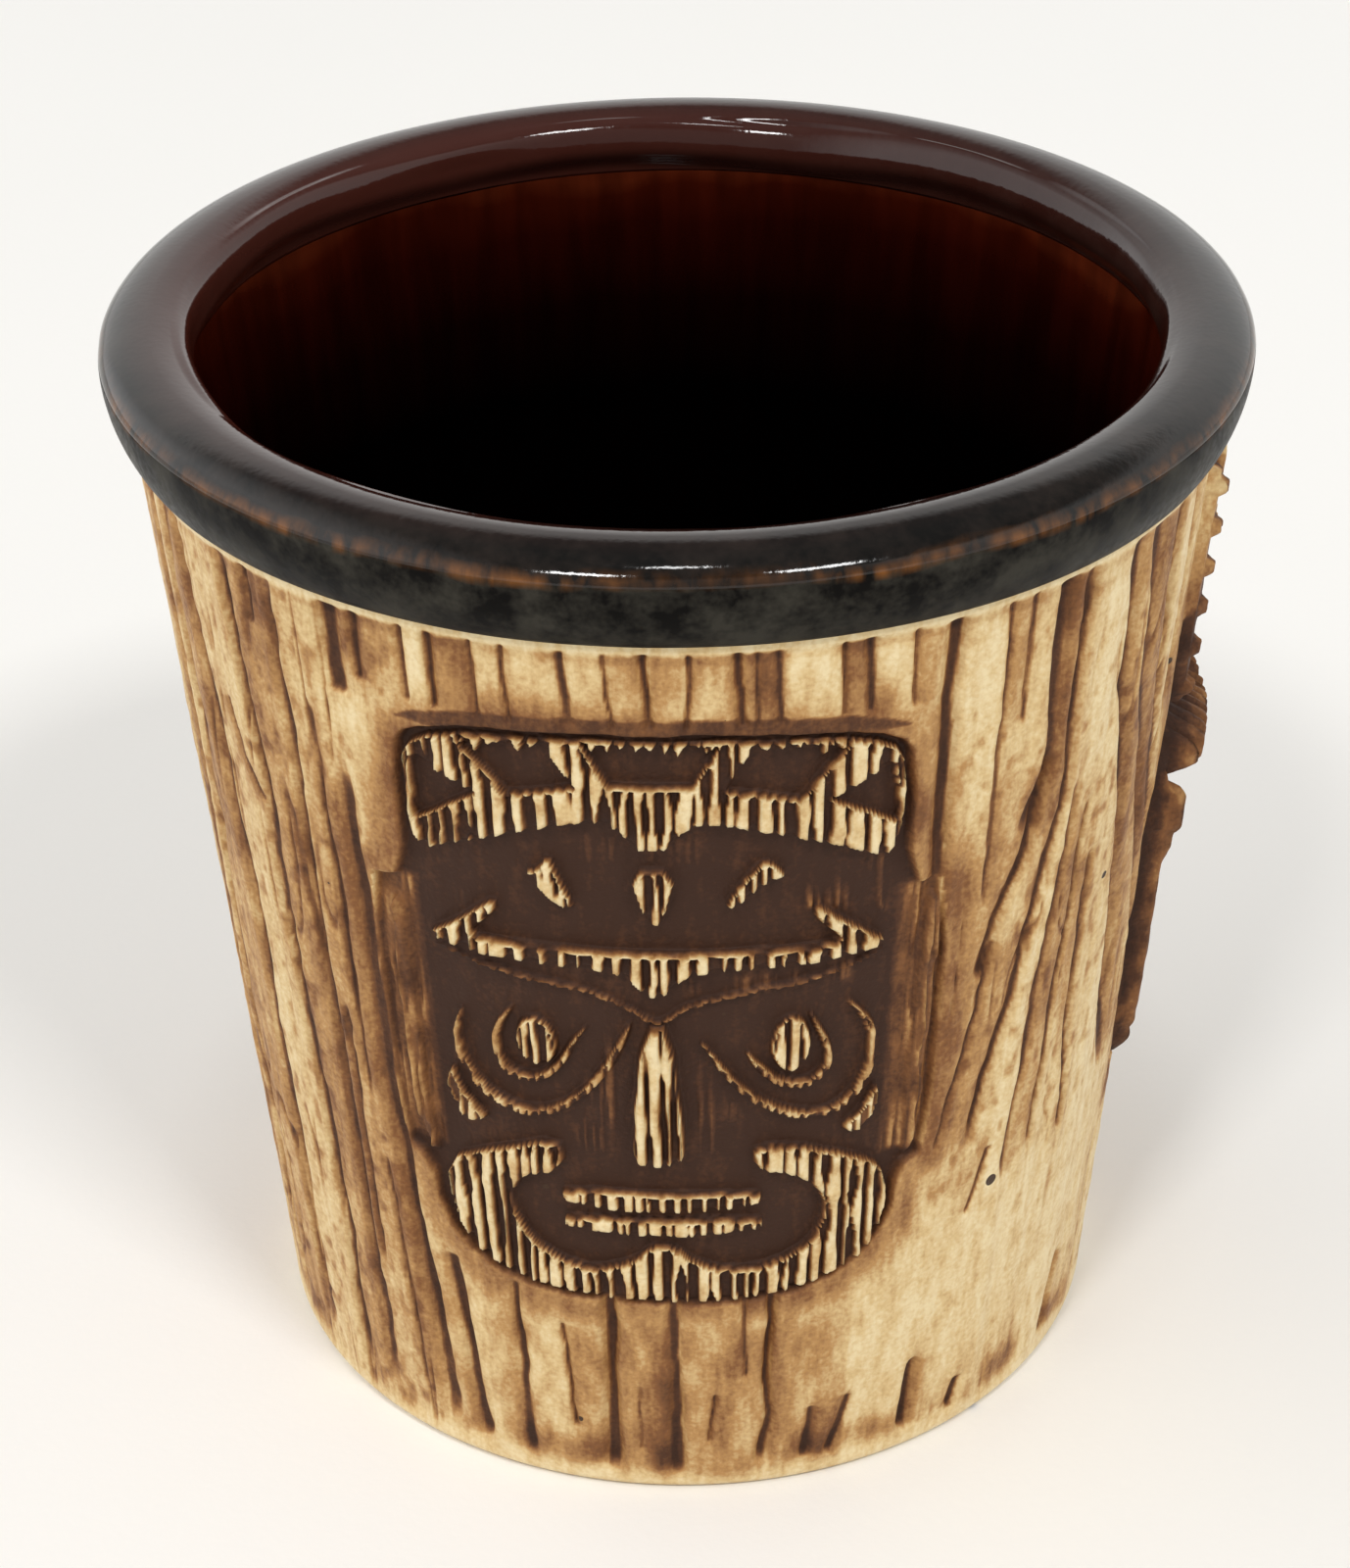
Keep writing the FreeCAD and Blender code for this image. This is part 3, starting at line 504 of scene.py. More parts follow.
NOSE = [(-1.4, 55.2), (-2.6, 41.4), (-1.9, 39.7), (1.9, 39.7), (2.7, 41.4), (1.4, 55.2)]
CHEEKS = [
    [(-19, 48), (-20.1, 46), (-19.7, 44), (-18.2, 41.6), (-15.6, 42.4), (-17.4, 44), (-18.7, 46)],
    [(20.3, 46.2), (20.2, 43.5), (18.6, 41), (16.6, 41.9), (18.4, 43.6), (19.6, 45.8)],
]
JAW = [
    (-8.9, 41.9), (-8.9, 38.2), (-12.9, 36.9), (-14.5, 33.4), (-12.5, 29.2), (-8.4, 27.1), (-4.9, 27.3),
    (-2.4, 28.5), (-1.2, 30.1), (1.5, 30.1), (3.4, 28.1), (6.6, 27.2), (10.6, 27.4), (14.4, 29.6), (15.6, 33),
    (14.6, 36), (11.6, 38), (8.6, 38.8), (8.6, 41.8), (15.6, 40), (20.2, 37.6), (21.7, 35.4), (21.8, 31),
    (20, 27), (16.5, 25.2), (10.6, 23.8), (0, 23.5), (-11.4, 24.2), (-16.4, 25.7), (-18.9, 27.2), (-20.8, 31),
    (-20.9, 36.6), (-16, 39.3),
]
LEFT_EAR = [
    (-24.1, 63.4), (-23.2, 64.8), (-22.1, 64.3), (-21.9, 40), (-21.6, 36.8), (-22.4, 36.6), (-23.8, 39.5),
    (-24.1, 45),
]
RIGHT_EAR = [
    (23.2, 64.6), (24.3, 66), (25.4, 65), (25.2, 45), (24.8, 39.4), (23.9, 36.6), (22.9, 36.6), (22.8, 40),
]


def headdress_holes():
    """The dark shapes in the headdress, with light icicles hanging into them from above."""
    return [
        icicles((-5.1, 83.6), (5.1, 83.6), 1.15, 1.3, 71) + [(3.2, 79.8), (-3.2, 79.8)],
        icicles((8.2, 83.5), (15.6, 82.7), 1.15, 1.2, 72) + [(11.8, 77.9), (6.1, 79.3)],
        icicles((-15.4, 82.5), (-8.6, 83.5), 1.15, 1.2, 73) + [(-6, 79.4), (-11.4, 78.1)],
        [(14.6, 77.5), (20.2, 74.2), (19.5, 79.9)],
        [(-14.3, 77.7), (-20, 73.8), (-19.6, 79.8)],
    ]


def carve_front_mask():
    raised = partial(raise_relief, FRONT, "front_mask")
    sink_field(FRONT, "front_mask_field", FRONT_FIELD)
    for outline in ([(-8, 39.5), (-3, 39.5), (-3, 56), (-8, 47)], [(3, 40), (8.6, 40), (8, 45), (3, 54)]):
        streaks(FRONT, outline, 0.34)
    streaks(FRONT, [(12, 66), (20.5, 64), (20.5, 71), (12, 72.6)], 0.6)
    for side in (-1, 1):
        streaks(FRONT, box_outline(side * 20.6, side * 26.2, 37.2, 67.5), 0.4, rubbed=0.28)
    streaks(FRONT, [(-8, 71), (8, 71), (6, 75), (-6, 75)], 0.2)
    streaks(FRONT, box_outline(2, 18, 57.4, 60.6), 0.35)
    raised("headdress", [HEADDRESS], TOP, holes=headdress_holes())
    raised("forehead_marks", FOREHEAD_MARKS, TOP - 0.2, flank=0.25, pitch=1.1)
    raised("brow", [stroke(BROW_FOLD, 0.7)], TOP - 0.5, cut=0.6, pitch=1.1, worn=0.5)
    raised("brow", [BROW], TOP + 0.1, pitch=1.5, seed=61)
    raised("cheeks", CHEEKS, TOP - 0.1, cut=0.5)
    for path in (LEFT_EYE_RING, LEFT_EYE_LID, RIGHT_EYE_RING, RIGHT_EYE_LID):
        ring = stroke(path, 1.05)
        raised("eyes", [ring], TOP - 0.2, cut=0.6, corners=2, pitch=1.0, worn=0.8)
    pupils = [ellipse((-10.7, 52.4), 1.9, 2.6), ellipse((11.8, 52.3), 1.9, 3.0)]
    raised("eyes", pupils, TOP - 0.2, flank=0.3, pitch=1.05, seed=64)
    raised("nose", [NOSE], TOP + 0.5, flank=0.4, cut=0.75, pitch=1.2, seed=67)
    teeth = [box_outline(-9.4, 9.6, 34.2, 36.3), box_outline(-9.3, 9.6, 31.4, 33.2)]
    raised("teeth", teeth, TOP - 0.1, flank=0.3, pitch=1.2, seed=65)
    raised("jaw", [JAW], TOP, seed=62)
    raised("ears", [LEFT_EAR, RIGHT_EAR], TOP, flank=0.7, cut=0.5, worn=0.62)


# ---- right mask: wide, in high relief, with a feather headdress ----------------------------------
RIGHT_FIELD = mirrored([(0, 22.6), (14, 23), (24, 25), (31.2, 26.4), (31.2, 91.6), (0, 91.6)])
FEATHERS, FEATHER_PITCH, FEATHER_HALF = 7, 7.2, 3.1
RIGHT_CROWN = mirrored([(0, 79.4), (25, 80.2), (25, 83.2), (0, 83.6)])
RIGHT_BROW = mirrored([
    (0, 58.6), (4, 59.6), (9, 58.2), (18, 57.6), (26, 57.8), (30.8, 58.6), (30.8, 64), (26, 66.2),
    (16, 65.8), (7, 64.6), (0, 63.2),
])
RIGHT_NOSE = mirrored([(0, 41.2), (5.2, 41), (6.9, 43), (6.4, 45.6), (3.6, 47.6), (2.4, 58.3), (0, 58.3)])
RIGHT_CHEEK_BAR = [(18.5, 41.6), (25.2, 44.2), (25.2, 42.2), (19.6, 39.6)]
RIGHT_EAR_PLATE = [
    (26.6, 33), (28.8, 26.4), (30.4, 31), (30.9, 38), (30.9, 61), (28, 61), (27.4, 50), (26.4, 42),
]       # its top runs in under the brow
BRAID_IN, BRAID_OUT = 26.2, 30.8
BRAID_LOW, BRAID_HIGH = 66.8, 91.2
BEADS, BEAD_PITCH = 6, 4.0


def feather(middle):
    half = FEATHER_HALF
    return [
        (middle - half, 84.2), (middle + half, 84.2), (middle + half, 88.6), (middle + 0.6 * half, 90.6),
        (middle, 91.3), (middle - 0.6 * half, 90.6), (middle - half, 88.6),
    ]


def bead(side, row):
    middle = side * (BRAID_IN + BRAID_OUT) / 2
    return ellipse((middle, BRAID_LOW + BEAD_PITCH * (row + 0.5)), 1.9, BEAD_PITCH / 2 - 0.2)


def teeth_row(count, pitch, low, high):
    """Tooth outlines centred on the middle line, with small gaps between them."""
    half = pitch / 2 - 0.3
    middles = [(i - (count - 1) / 2) * pitch for i in range(count)]
    return [box_outline(middle - half, middle + half, low, high) for middle in middles]


def carve_right_mask():
    raised = partial(raise_relief, RIGHT, "right_mask")
    sink_field(RIGHT, "right_mask_field", RIGHT_FIELD)
    feathers = [feather((i - (FEATHERS - 1) / 2) * FEATHER_PITCH) for i in range(FEATHERS)]
    raised("headdress", feathers, 1.1, flank=1.0, cut=0.5, worn=0.8)
    raised("headdress", [RIGHT_CROWN], 1.5, flank=0.9, cut=0.6, worn=0.8)
    strands = [box_outline(side * BRAID_IN, side * BRAID_OUT, BRAID_LOW, BRAID_HIGH) for side in (-1, 1)]
    raised("braids", strands, 0.9, flank=0.9, cut=0.0, worn=0.2)
    beads = [bead(side, row) for side in (-1, 1) for row in range(BEADS)]
    raised("braids", beads, 1.7, flank=1.3, cut=0.2, worn=0.4)
    diamond = [(0, 67), (4.6, 72.6), (0, 78.2), (-4.6, 72.6)]
    diamond_hole = [(0, 70), (2.4, 72.6), (0, 75.2), (-2.4, 72.6)]
    raised("forehead_diamond", [diamond], 0.8, flank=0.7, holes=[diamond_hole])
    raised("brow", [RIGHT_BROW], 3.4, flank=3.0, cut=0.5, pitch=1.3, worn=0.45)
    eye_at = ((-13.6, 50.6), (13.6, 50.6))
    eye_holes = [ellipse(centre, 5.9, 4.1) for centre in eye_at]
    raised("eyes", [ellipse(c, 7.6, 5.6) for c in eye_at], 1.2, flank=0.7, cut=0.4, holes=eye_holes)
    raised("eyes", [ellipse(c, 2.8, 2.5) for c in eye_at], 1.4, flank=1.4, cut=0.3)
    raised("nose", [RIGHT_NOSE], 3.0, flank=2.2, cut=0.35)
    bars = [RIGHT_CHEEK_BAR, flipped(RIGHT_CHEEK_BAR)]
    raised("cheek_bars", bars, 1.0, flank=0.7, cut=0.3, worn=0.6)
    mouth, gap = ellipse((0, 33.4), 18.6, 7), ellipse((0, 33.4), 15.8, 4.6)
    raised("mouth", [mouth], 1.6, flank=1.1, cut=0.4, holes=[gap], worn=0.8)
    teeth = teeth_row(6, 3.6, 34, 36.6) + teeth_row(6, 3.6, 30.2, 32.8)
    raised("mouth", teeth, 0.6, flank=0.6, cut=0.25)
    ear_plates = [RIGHT_EAR_PLATE, flipped(RIGHT_EAR_PLATE)]
    raised("ears", ear_plates, 1.6, flank=1.5, cut=0.3, worn=0.45)
    for low, top in ((48, 2.2), (52, 2.8)):
        ear_roots = [box_outline(side * 27, side * 30.9, low, 60) for side in (-1, 1)]
        raised("ears", ear_roots, top, flank=1.9, cut=0.3, worn=0.45)


# ---- left mask: long and narrow, with a zigzag crown and a beard ---------------------------------
LEFT_FIELD = mirrored([
    (0, 20.6), (8.4, 20.8), (11.8, 31), (17.6, 40), (20.4, 44), (23.6, 45.4), (23.6, 66.6), (20.8, 68),
    (19.4, 79), (15.4, 87.8), (0, 88.8),
])
LEFT_CROWN = mirrored([
    (0, 75.6), (3.4, 79.6), (6.8, 75.6), (10.2, 79.4), (13.6, 75.2), (17.6, 77.6), (14.4, 86.8), (0, 87.8),
])
LEFT_CROWN_MARK = [(-2.2, 84.6), (0, 80.8), (2.2, 84.6)]
LEFT_BROW = mirrored([
    (0, 62.4), (2.4, 62.6), (6, 65), (11, 66.2), (16, 65), (18.4, 61.6), (19.2, 66.6), (15.4, 70.4),
    (9, 71.6), (3.4, 70), (0, 68.4),
])
LEFT_NOSE = mirrored([(0, 41.8), (3.2, 42), (4.4, 43.6), (3.6, 46), (2, 48), (1.9, 61.8), (0, 61.8)])
NARROW_EYE = [(4.2, 55.2), (8.4, 58.6), (13.4, 59.6), (17, 57.8), (13.6, 54.6), (8.6, 53.2)]
EYE_SLIT = [(6.4, 55.5), (9.4, 57.4), (13.2, 57.9), (14.8, 57.2), (12.6, 55.6), (9, 54.7)]
LEFT_MOUTH = mirrored([(0, 29.6), (7.6, 30.2), (9.4, 34.8), (7.6, 39.2), (0, 40)])
LEFT_MOUTH_HOLE = mirrored([(0, 31.8), (6, 32.2), (7.2, 34.8), (6, 37.4), (0, 37.8)])
EAR_LOOP = [(20.8, 47), (23, 47), (23, 65), (20.8, 65)]
EAR_HOLE = [(21.5, 49.4), (22.3, 49.4), (22.3, 55), (21.5, 55)]
BEARD_STRANDS, BEARD_PITCH = 5, 2.7


def cheek_scar(side, low):
    return [(side * s, low + z) for s, z in ((6.6, 0), (15.2, 3), (15.6, 4.6), (6.8, 1.5))]


def beard_strand(middle):
    return [(middle + s, z) for s, z in ((-1.1, 29), (-0.8, 22.2), (0, 21.2), (0.8, 22.2), (1.1, 29))]


def carve_left_mask():
    raised = partial(raise_relief, LEFT, "left_mask")
    sink_field(LEFT, "left_mask_field", LEFT_FIELD)
    raised("crown", [LEFT_CROWN], 0.7, flank=0.6, holes=[LEFT_CROWN_MARK])
    raised("brow", [LEFT_BROW], 1.3, flank=1.4, cut=0.45)
    eyes = [NARROW_EYE, flipped(NARROW_EYE)]
    slits = [EYE_SLIT, flipped(EYE_SLIT)]
    raised("eyes", eyes, 0.6, flank=0.6, cut=0.3, holes=slits, corners=2)
    raised("nose", [LEFT_NOSE], 1.5, flank=1.4, cut=0.35)
    scars = [cheek_scar(side, low) for side in (-1, 1) for low in (42.6, 45.6, 48.6)]
    raised("cheek_scars", scars, 0.4, flank=0.4, cut=0.25)
    raised("mouth", [LEFT_MOUTH], 0.9, flank=0.8, cut=0.4, holes=[LEFT_MOUTH_HOLE])
    raised("mouth", teeth_row(4, 2.4, 33.4, 36.2), 0.3, flank=0.5, cut=0.25)
    strands = [beard_strand((i - (BEARD_STRANDS - 1) / 2) * BEARD_PITCH) for i in range(BEARD_STRANDS)]
    raised("beard", strands, 0.6, flank=0.7, cut=0.35, pitch=0.9)
    ears, ear_holes = [EAR_LOOP, flipped(EAR_LOOP)], [EAR_HOLE, flipped(EAR_HOLE)]
    raised("ears", ears, 0.5, flank=0.6, cut=0.25, holes=ear_holes)


# ---- meshes --------------------------------------------------------------------------------------
def wall_base(z):
    """Radius of the plain wall at height z, with the foot's outer edge rounded."""
    straight = WALL_FOOT_R + (WALL_TOP_R - WALL_FOOT_R) * z / BAND_Z
    below = np.clip(FOOT_ROUND - z, 0, FOOT_ROUND)
    return straight - (FOOT_ROUND - np.sqrt(FOOT_ROUND ** 2 - below ** 2))


def new_mesh(name, points, faces, normals, uvs, layers=None):
    """A mesh from arrays: points in millimetres, quads, a normal per point and a UV per corner."""
    mesh = bpy.data.meshes.new(name)
    mesh.vertices.add(len(points))
    mesh.vertices.foreach_set("co", (points * MM).astype(np.float32).ravel())
    mesh.loops.add(faces.size)
    mesh.loops.foreach_set("vertex_index", faces.astype(np.int32).ravel())
    mesh.polygons.add(len(faces))
    mesh.polygons.foreach_set("loop_start", np.arange(0, faces.size, 4, dtype=np.int32))
    mesh.polygons.foreach_set("use_smooth", np.ones(len(faces), bool))
    mesh.update(calc_edges=True)
    uv_layer = mesh.uv_layers.new(name="OFBake")
    uv_layer.data.foreach_set("uv", uvs.astype(np.float32).ravel())
    for key, values in (layers or {}).items():
        layer = mesh.attributes.new(key, "FLOAT", "POINT")
        layer.data.foreach_set("value", values.astype(np.float32))
    mesh.normals_split_custom_set_from_vertices(normals)
    piece = bpy.data.objects.new(name, mesh)
    bpy.context.collection.objects.link(piece)
    return piece


def grid_normals(points):
    """Outward normals of a grid of points that closes round the mug, rows by columns by 3."""
    across = np.roll(points, -1, axis=1) - np.roll(points, 1, axis=1)
    normals = np.cross(across, np.gradient(points, axis=0))
    return normals / np.maximum(np.linalg.norm(normals, axis=2, keepdims=True), 1e-9)


def finish_piece(piece, material, nodes):
    piece.data.materials.append(material)
    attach(piece, "root")
    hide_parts(*nodes)


def quad_corners(rows, cols, east, count):
    """Point numbers at the corners of a grid's quads; the grid has count points to a row."""
    below, above = rows * count, (rows + 1) * count
    return below + cols, below + east, above + east, above + cols


def wall_patch(name, quads, shapes, material, nodes):
    """One piece of the wall: the given quads of the map, and its edges turned into the wall."""
    surface, turned_in, normals = shapes
    rows, cols = np.nonzero(quads)
    count = len(U)
    east = (cols + 1) % count
    a, b, c, d = quad_corners(rows, cols, east, count)
    top = np.stack([a, b, c, d], axis=1)
    padded = np.pad(quads, ((1, 1), (0, 0)))
    edges = []
    for first, second, neighbour in (
        (a, b, padded[rows, cols]), (b, c, quads[rows, east]),
        (c, d, padded[rows + 2, cols]), (d, a, quads[rows, cols - 1]),
    ):
        edges.append(np.stack([first, second], axis=1)[~neighbour])
    edges = np.concatenate(edges)
    size = surface.shape[0] * surface.shape[1]
    start, end = edges.T
    skirt = np.stack([end + size, start + size, start + 2 * size, end + 2 * size], axis=1)
    faces = np.concatenate([top, skirt])
    every = np.concatenate([surface.reshape(-1, 3), surface.reshape(-1, 3), turned_in.reshape(-1, 3)])
    used, compact = np.unique(faces, return_inverse=True)
    east_u = np.where(cols + 1 == count, ROUND + U[0], U[east])
    left, right, low, high = U[cols], east_u, Z[rows], Z[rows + 1]
    spread = 0.96 / max(np.ptp(np.append(left, right)), np.ptp(np.append(low, high)))
    across = [(value - left.min()) * spread for value in (left, right, right, left)]
    upward = [(value - low.min()) * spread for value in (low, low, high, high)]
    top_uv = np.stack([np.stack(across, axis=1), np.stack(upward, axis=1)], axis=2)
    share = np.arange(len(edges)) / max(len(edges), 1)
    wide = share + 1 / max(len(edges), 1)
    skirt_uv = np.stack([
        np.stack([wide, share, share, wide], axis=1),
        np.tile([0.98, 0.98, 0.99, 0.99], (len(edges), 1)),
    ], axis=2)
    normal_list = np.tile(normals.reshape(-1, 3), (3, 1))
    # The stain map goes onto the mesh, with the painted shade beside the grooves in it.
    layers = {"stain_and_shade": np.tile(stain_and_shade.ravel(), 3)[used]}
    uvs = np.concatenate([top_uv.reshape(-1, 2), skirt_uv.reshape(-1, 2)])
    piece = new_mesh(name, every[used], compact.reshape(-1, 4), normal_list[used], uvs, layers)
    finish_piece(piece, material, nodes)


BARK_PANELS = 7


def build_wall(clay):
    """Cuts the wall's map into its pieces."""
    np.clip(stain_and_shade, 0, 1, out=stain_and_shade)
    angle = UU / SHEET_R
    radius = wall_base(ZZ) + height
    deep = wall_base(ZZ) - TURNED_IN
    surface = np.stack([radius * np.sin(angle), -radius * np.cos(angle), ZZ], axis=2)
    turned_in = np.stack([deep * np.sin(angle), -deep * np.cos(angle), ZZ], axis=2)
    shapes = surface, turned_in, grid_normals(surface)
    label = piece_at[:-1]
    sector = np.broadcast_to(np.floor((U - U[0]) / ROUND * BARK_PANELS).astype(int), label.shape)
    for k in range(BARK_PANELS):
        quads = (label == 0) & (sector == k)
        wall_patch(f"bark_panel_{k + 1}", quads, shapes, clay, ["clay_wall"])
    for k, node in enumerate(piece_names[1:], start=1):
        wall_patch(f"carved_{node}", label == k, shapes, clay, [node])


def turned_piece(name, profile, material, nodes, seed, segments=256, wobble=0.0, ripple=0.0):
    """A turned piece from its closed (r, z) profile, with a slow unevenness of its surface.

    Inside RIPPLE_R the surface may also be rippled, as thick glaze is.
    """
    profile = np.asarray(profile, float)
    angle = np.arange(segments) * 2 * math.pi / segments
    aa, rr = np.meshgrid(angle, profile[:, 0])
    zz = np.meshgrid(angle, profile[:, 1])[1]
    uu = aa * SHEET_R
    rr = rr + wobble * (noise(uu, zz, 11, 60, seed) + 0.5 * noise(uu, zz, 4, 30, seed + 1))
    sway = ripple * smooth((RIPPLE_R - rr) / 0.5)
    rr = rr + sway * noise(uu, zz, 13, 2.2, seed + 2)
    zz = zz + 2.5 * sway * smooth(zz - MOUTH_Z) * noise(uu, zz, 19, 60, seed + 3)
    rr = np.maximum(rr, 0.0)
    points = np.stack([rr * np.sin(aa), -rr * np.cos(aa), zz], axis=2)
    points[-1] = points[0]
    normals = grid_normals(points)
    rows, cols = np.meshgrid(np.arange(len(profile) - 1), np.arange(segments), indexing="ij")
    rows, cols = rows.ravel(), cols.ravel()
    east = (cols + 1) % segments
    faces = np.stack(quad_corners(rows, cols, east, segments), axis=1)
    reach = np.concatenate([[0], np.cumsum(np.hypot(*np.diff(profile, axis=0).T))])
    full = 2 * math.pi * profile[:, 0].max()
    spread = 1 / max(full, reach[-1])
    across = np.stack([cols, cols + 1, cols + 1, cols], axis=1) / segments * full * spread
    upward = np.stack([reach[rows], reach[rows], reach[rows + 1], reach[rows + 1]], axis=1) * spread
    uvs = np.stack([across, upward], axis=2).reshape(-1, 2)
    piece = new_mesh(name, points.reshape(-1, 3), faces, normals.reshape(-1, 3), uvs)
    finish_piece(piece, material, nodes)


def arc_points(centre, radius, start, end, count):
    angles = np.radians(np.linspace(start, end, count))
    return [(centre[0] + radius * math.cos(a), centre[1] + radius * math.sin(a)) for a in angles]


def quadrant(start, corner, end, count):
    """Points of a quarter of an ellipse from start to end, whose tangents meet at corner."""
    points = []
    for i in range(1, count + 1):
        a = math.pi / 2 * i / count
        points.append(tuple(
            corner[k] + (start[k] - corner[k]) * (1 - math.sin(a)) + (end[k] - corner[k]) * (1 - math.cos(a))
            for k in (0, 1)
        ))
    return points


def lip_line(inset, count):
    """The lip from the band's foot over the crown and the brink to the mouth, moved into the lip by inset."""
    widest = (RIM_R - inset, HEIGHT - SHOULDER_DROP)
    crown = (CROWN_R, HEIGHT - inset)
    brink = (BRINK_R + inset, HEIGHT - BRINK_DROP)
    throat = (brink[0] - ROLL, ROLL_Z)
    slope = math.tan(math.radians(BRINK_TILT))
    sweep = (RIM_R - LIP_SWEEP_R, widest[1])
    drop = math.degrees(math.asin((sweep[1] - BAND_Z) / (LIP_SWEEP_R - inset)))
    points = arc_points(sweep, LIP_SWEEP_R - inset, -drop, 0, count)
    points += quadrant(widest, (widest[0], crown[1]), crown, count)
    points += quadrant(crown, (brink[0] + (crown[1] - brink[1]) / slope, crown[1]), brink, count)
    points += quadrant(brink, (throat[0], brink[1] - ROLL * slope), throat, count)
    for share in np.linspace(0, 1, 12)[1:]:
        back = (LIP_IN_R + inset - throat[0]) * (1 - math.cos(math.pi * share)) / 2
        points.append((throat[0] + back, ROLL_Z + (MOUTH_Z - ROLL_Z) * float(share)))
    return points


def build_lip(top_glaze, band_glaze):
    """The lip in two pieces that tuck under each other: the glossy top and the satin band below it."""
    outer, inner = lip_line(0.0, 24), lip_line(GLAZE, 6)
    top, band = ("lip_top", top_glaze, SPLIT_Z, HEIGHT + 1), ("lip_band", band_glaze, 0, SPLIT_Z)
    for name, glaze, low, high in (top, band):
        def belongs(point):
            if point[0] > CROWN_R:
                return low - OVERLAP <= point[1] <= high + OVERLAP
            return high > HEIGHT

        def tucked(point):
            beyond = max(low - point[1], point[1] - high, 0) if point[0] > CROWN_R else 0
            return (point[0] - TUCK * beyond, point[1])

        face = [tucked(point) for point in outer if belongs(point)]
        back = [point for point in inner if belongs(point)]
        profile = back[::-1] + face + [back[-1]]
        turned_piece(name, profile, glaze, ["rim_glaze"], 21, 512, wobble=0.05, ripple=0.22)


def inner_wall_r(z):
    low_z = INNER_FLOOR_Z + INNER_CORNER_R
    return INNER_FOOT_R + (LIP_IN_R + GLAZE - INNER_FOOT_R) * (z - low_z) / (MOUTH_Z - low_z)


def build_inner_glaze(material):
    centre = (INNER_FOOT_R - INNER_CORNER_R, INNER_FLOOR_Z + INNER_CORNER_R)
    face = [(inner_wall_r(z) - GLAZE, z) for z in np.linspace(MOUTH_Z, centre[1], 60)]
    face += arc_points(centre, INNER_CORNER_R - GLAZE, 0, -90, 16)[1:]
    floor_z = INNER_FLOOR_Z + GLAZE
    face += [(r, floor_z) for r in np.linspace(centre[0], 0, 12)[1:]]
    back = [(0, INNER_FLOOR_Z), (centre[0], INNER_FLOOR_Z)]
    back += arc_points(centre, INNER_CORNER_R, -90, 0, 10)[1:]
    back += [(LIP_IN_R + GLAZE, MOUTH_Z)]
    profile = (face + back + [face[0]])[::-1]
    turned_piece("inside_glaze", profile, material, ["inner_glaze"], 23, wobble=0.03)


def build_underside(material):
    """The foot ring's flat underside, its inner step, and the recessed base."""
    ring_out = WALL_FOOT_R - FOOT_ROUND
    ring = [(r, 0.0) for r in np.linspace(ring_out, FLOOR_R + 0.5, 10)]
    ring += arc_points((FLOOR_R + 0.5, 0.5), 0.5, -90, -180, 5)[1:]
    ring += [(FLOOR_R, RECESS_Z + 0.2), (FLOOR_R, 3.0), (WALL_FOOT_R - 2.2, 3.0), (ring_out, 0.0)]
    turned_piece("foot_ring", ring[::-1], material, ["clay_wall"], 25, wobble=0.04)
    base = [(r, RECESS_Z) for r in np.linspace(0, FLOOR_R, 24)]
    base += [(FLOOR_R, 5.0), (0, 5.0), (0, RECESS_Z)]
    turned_piece("recessed_base", base, material, ["clay_floor"], 27)


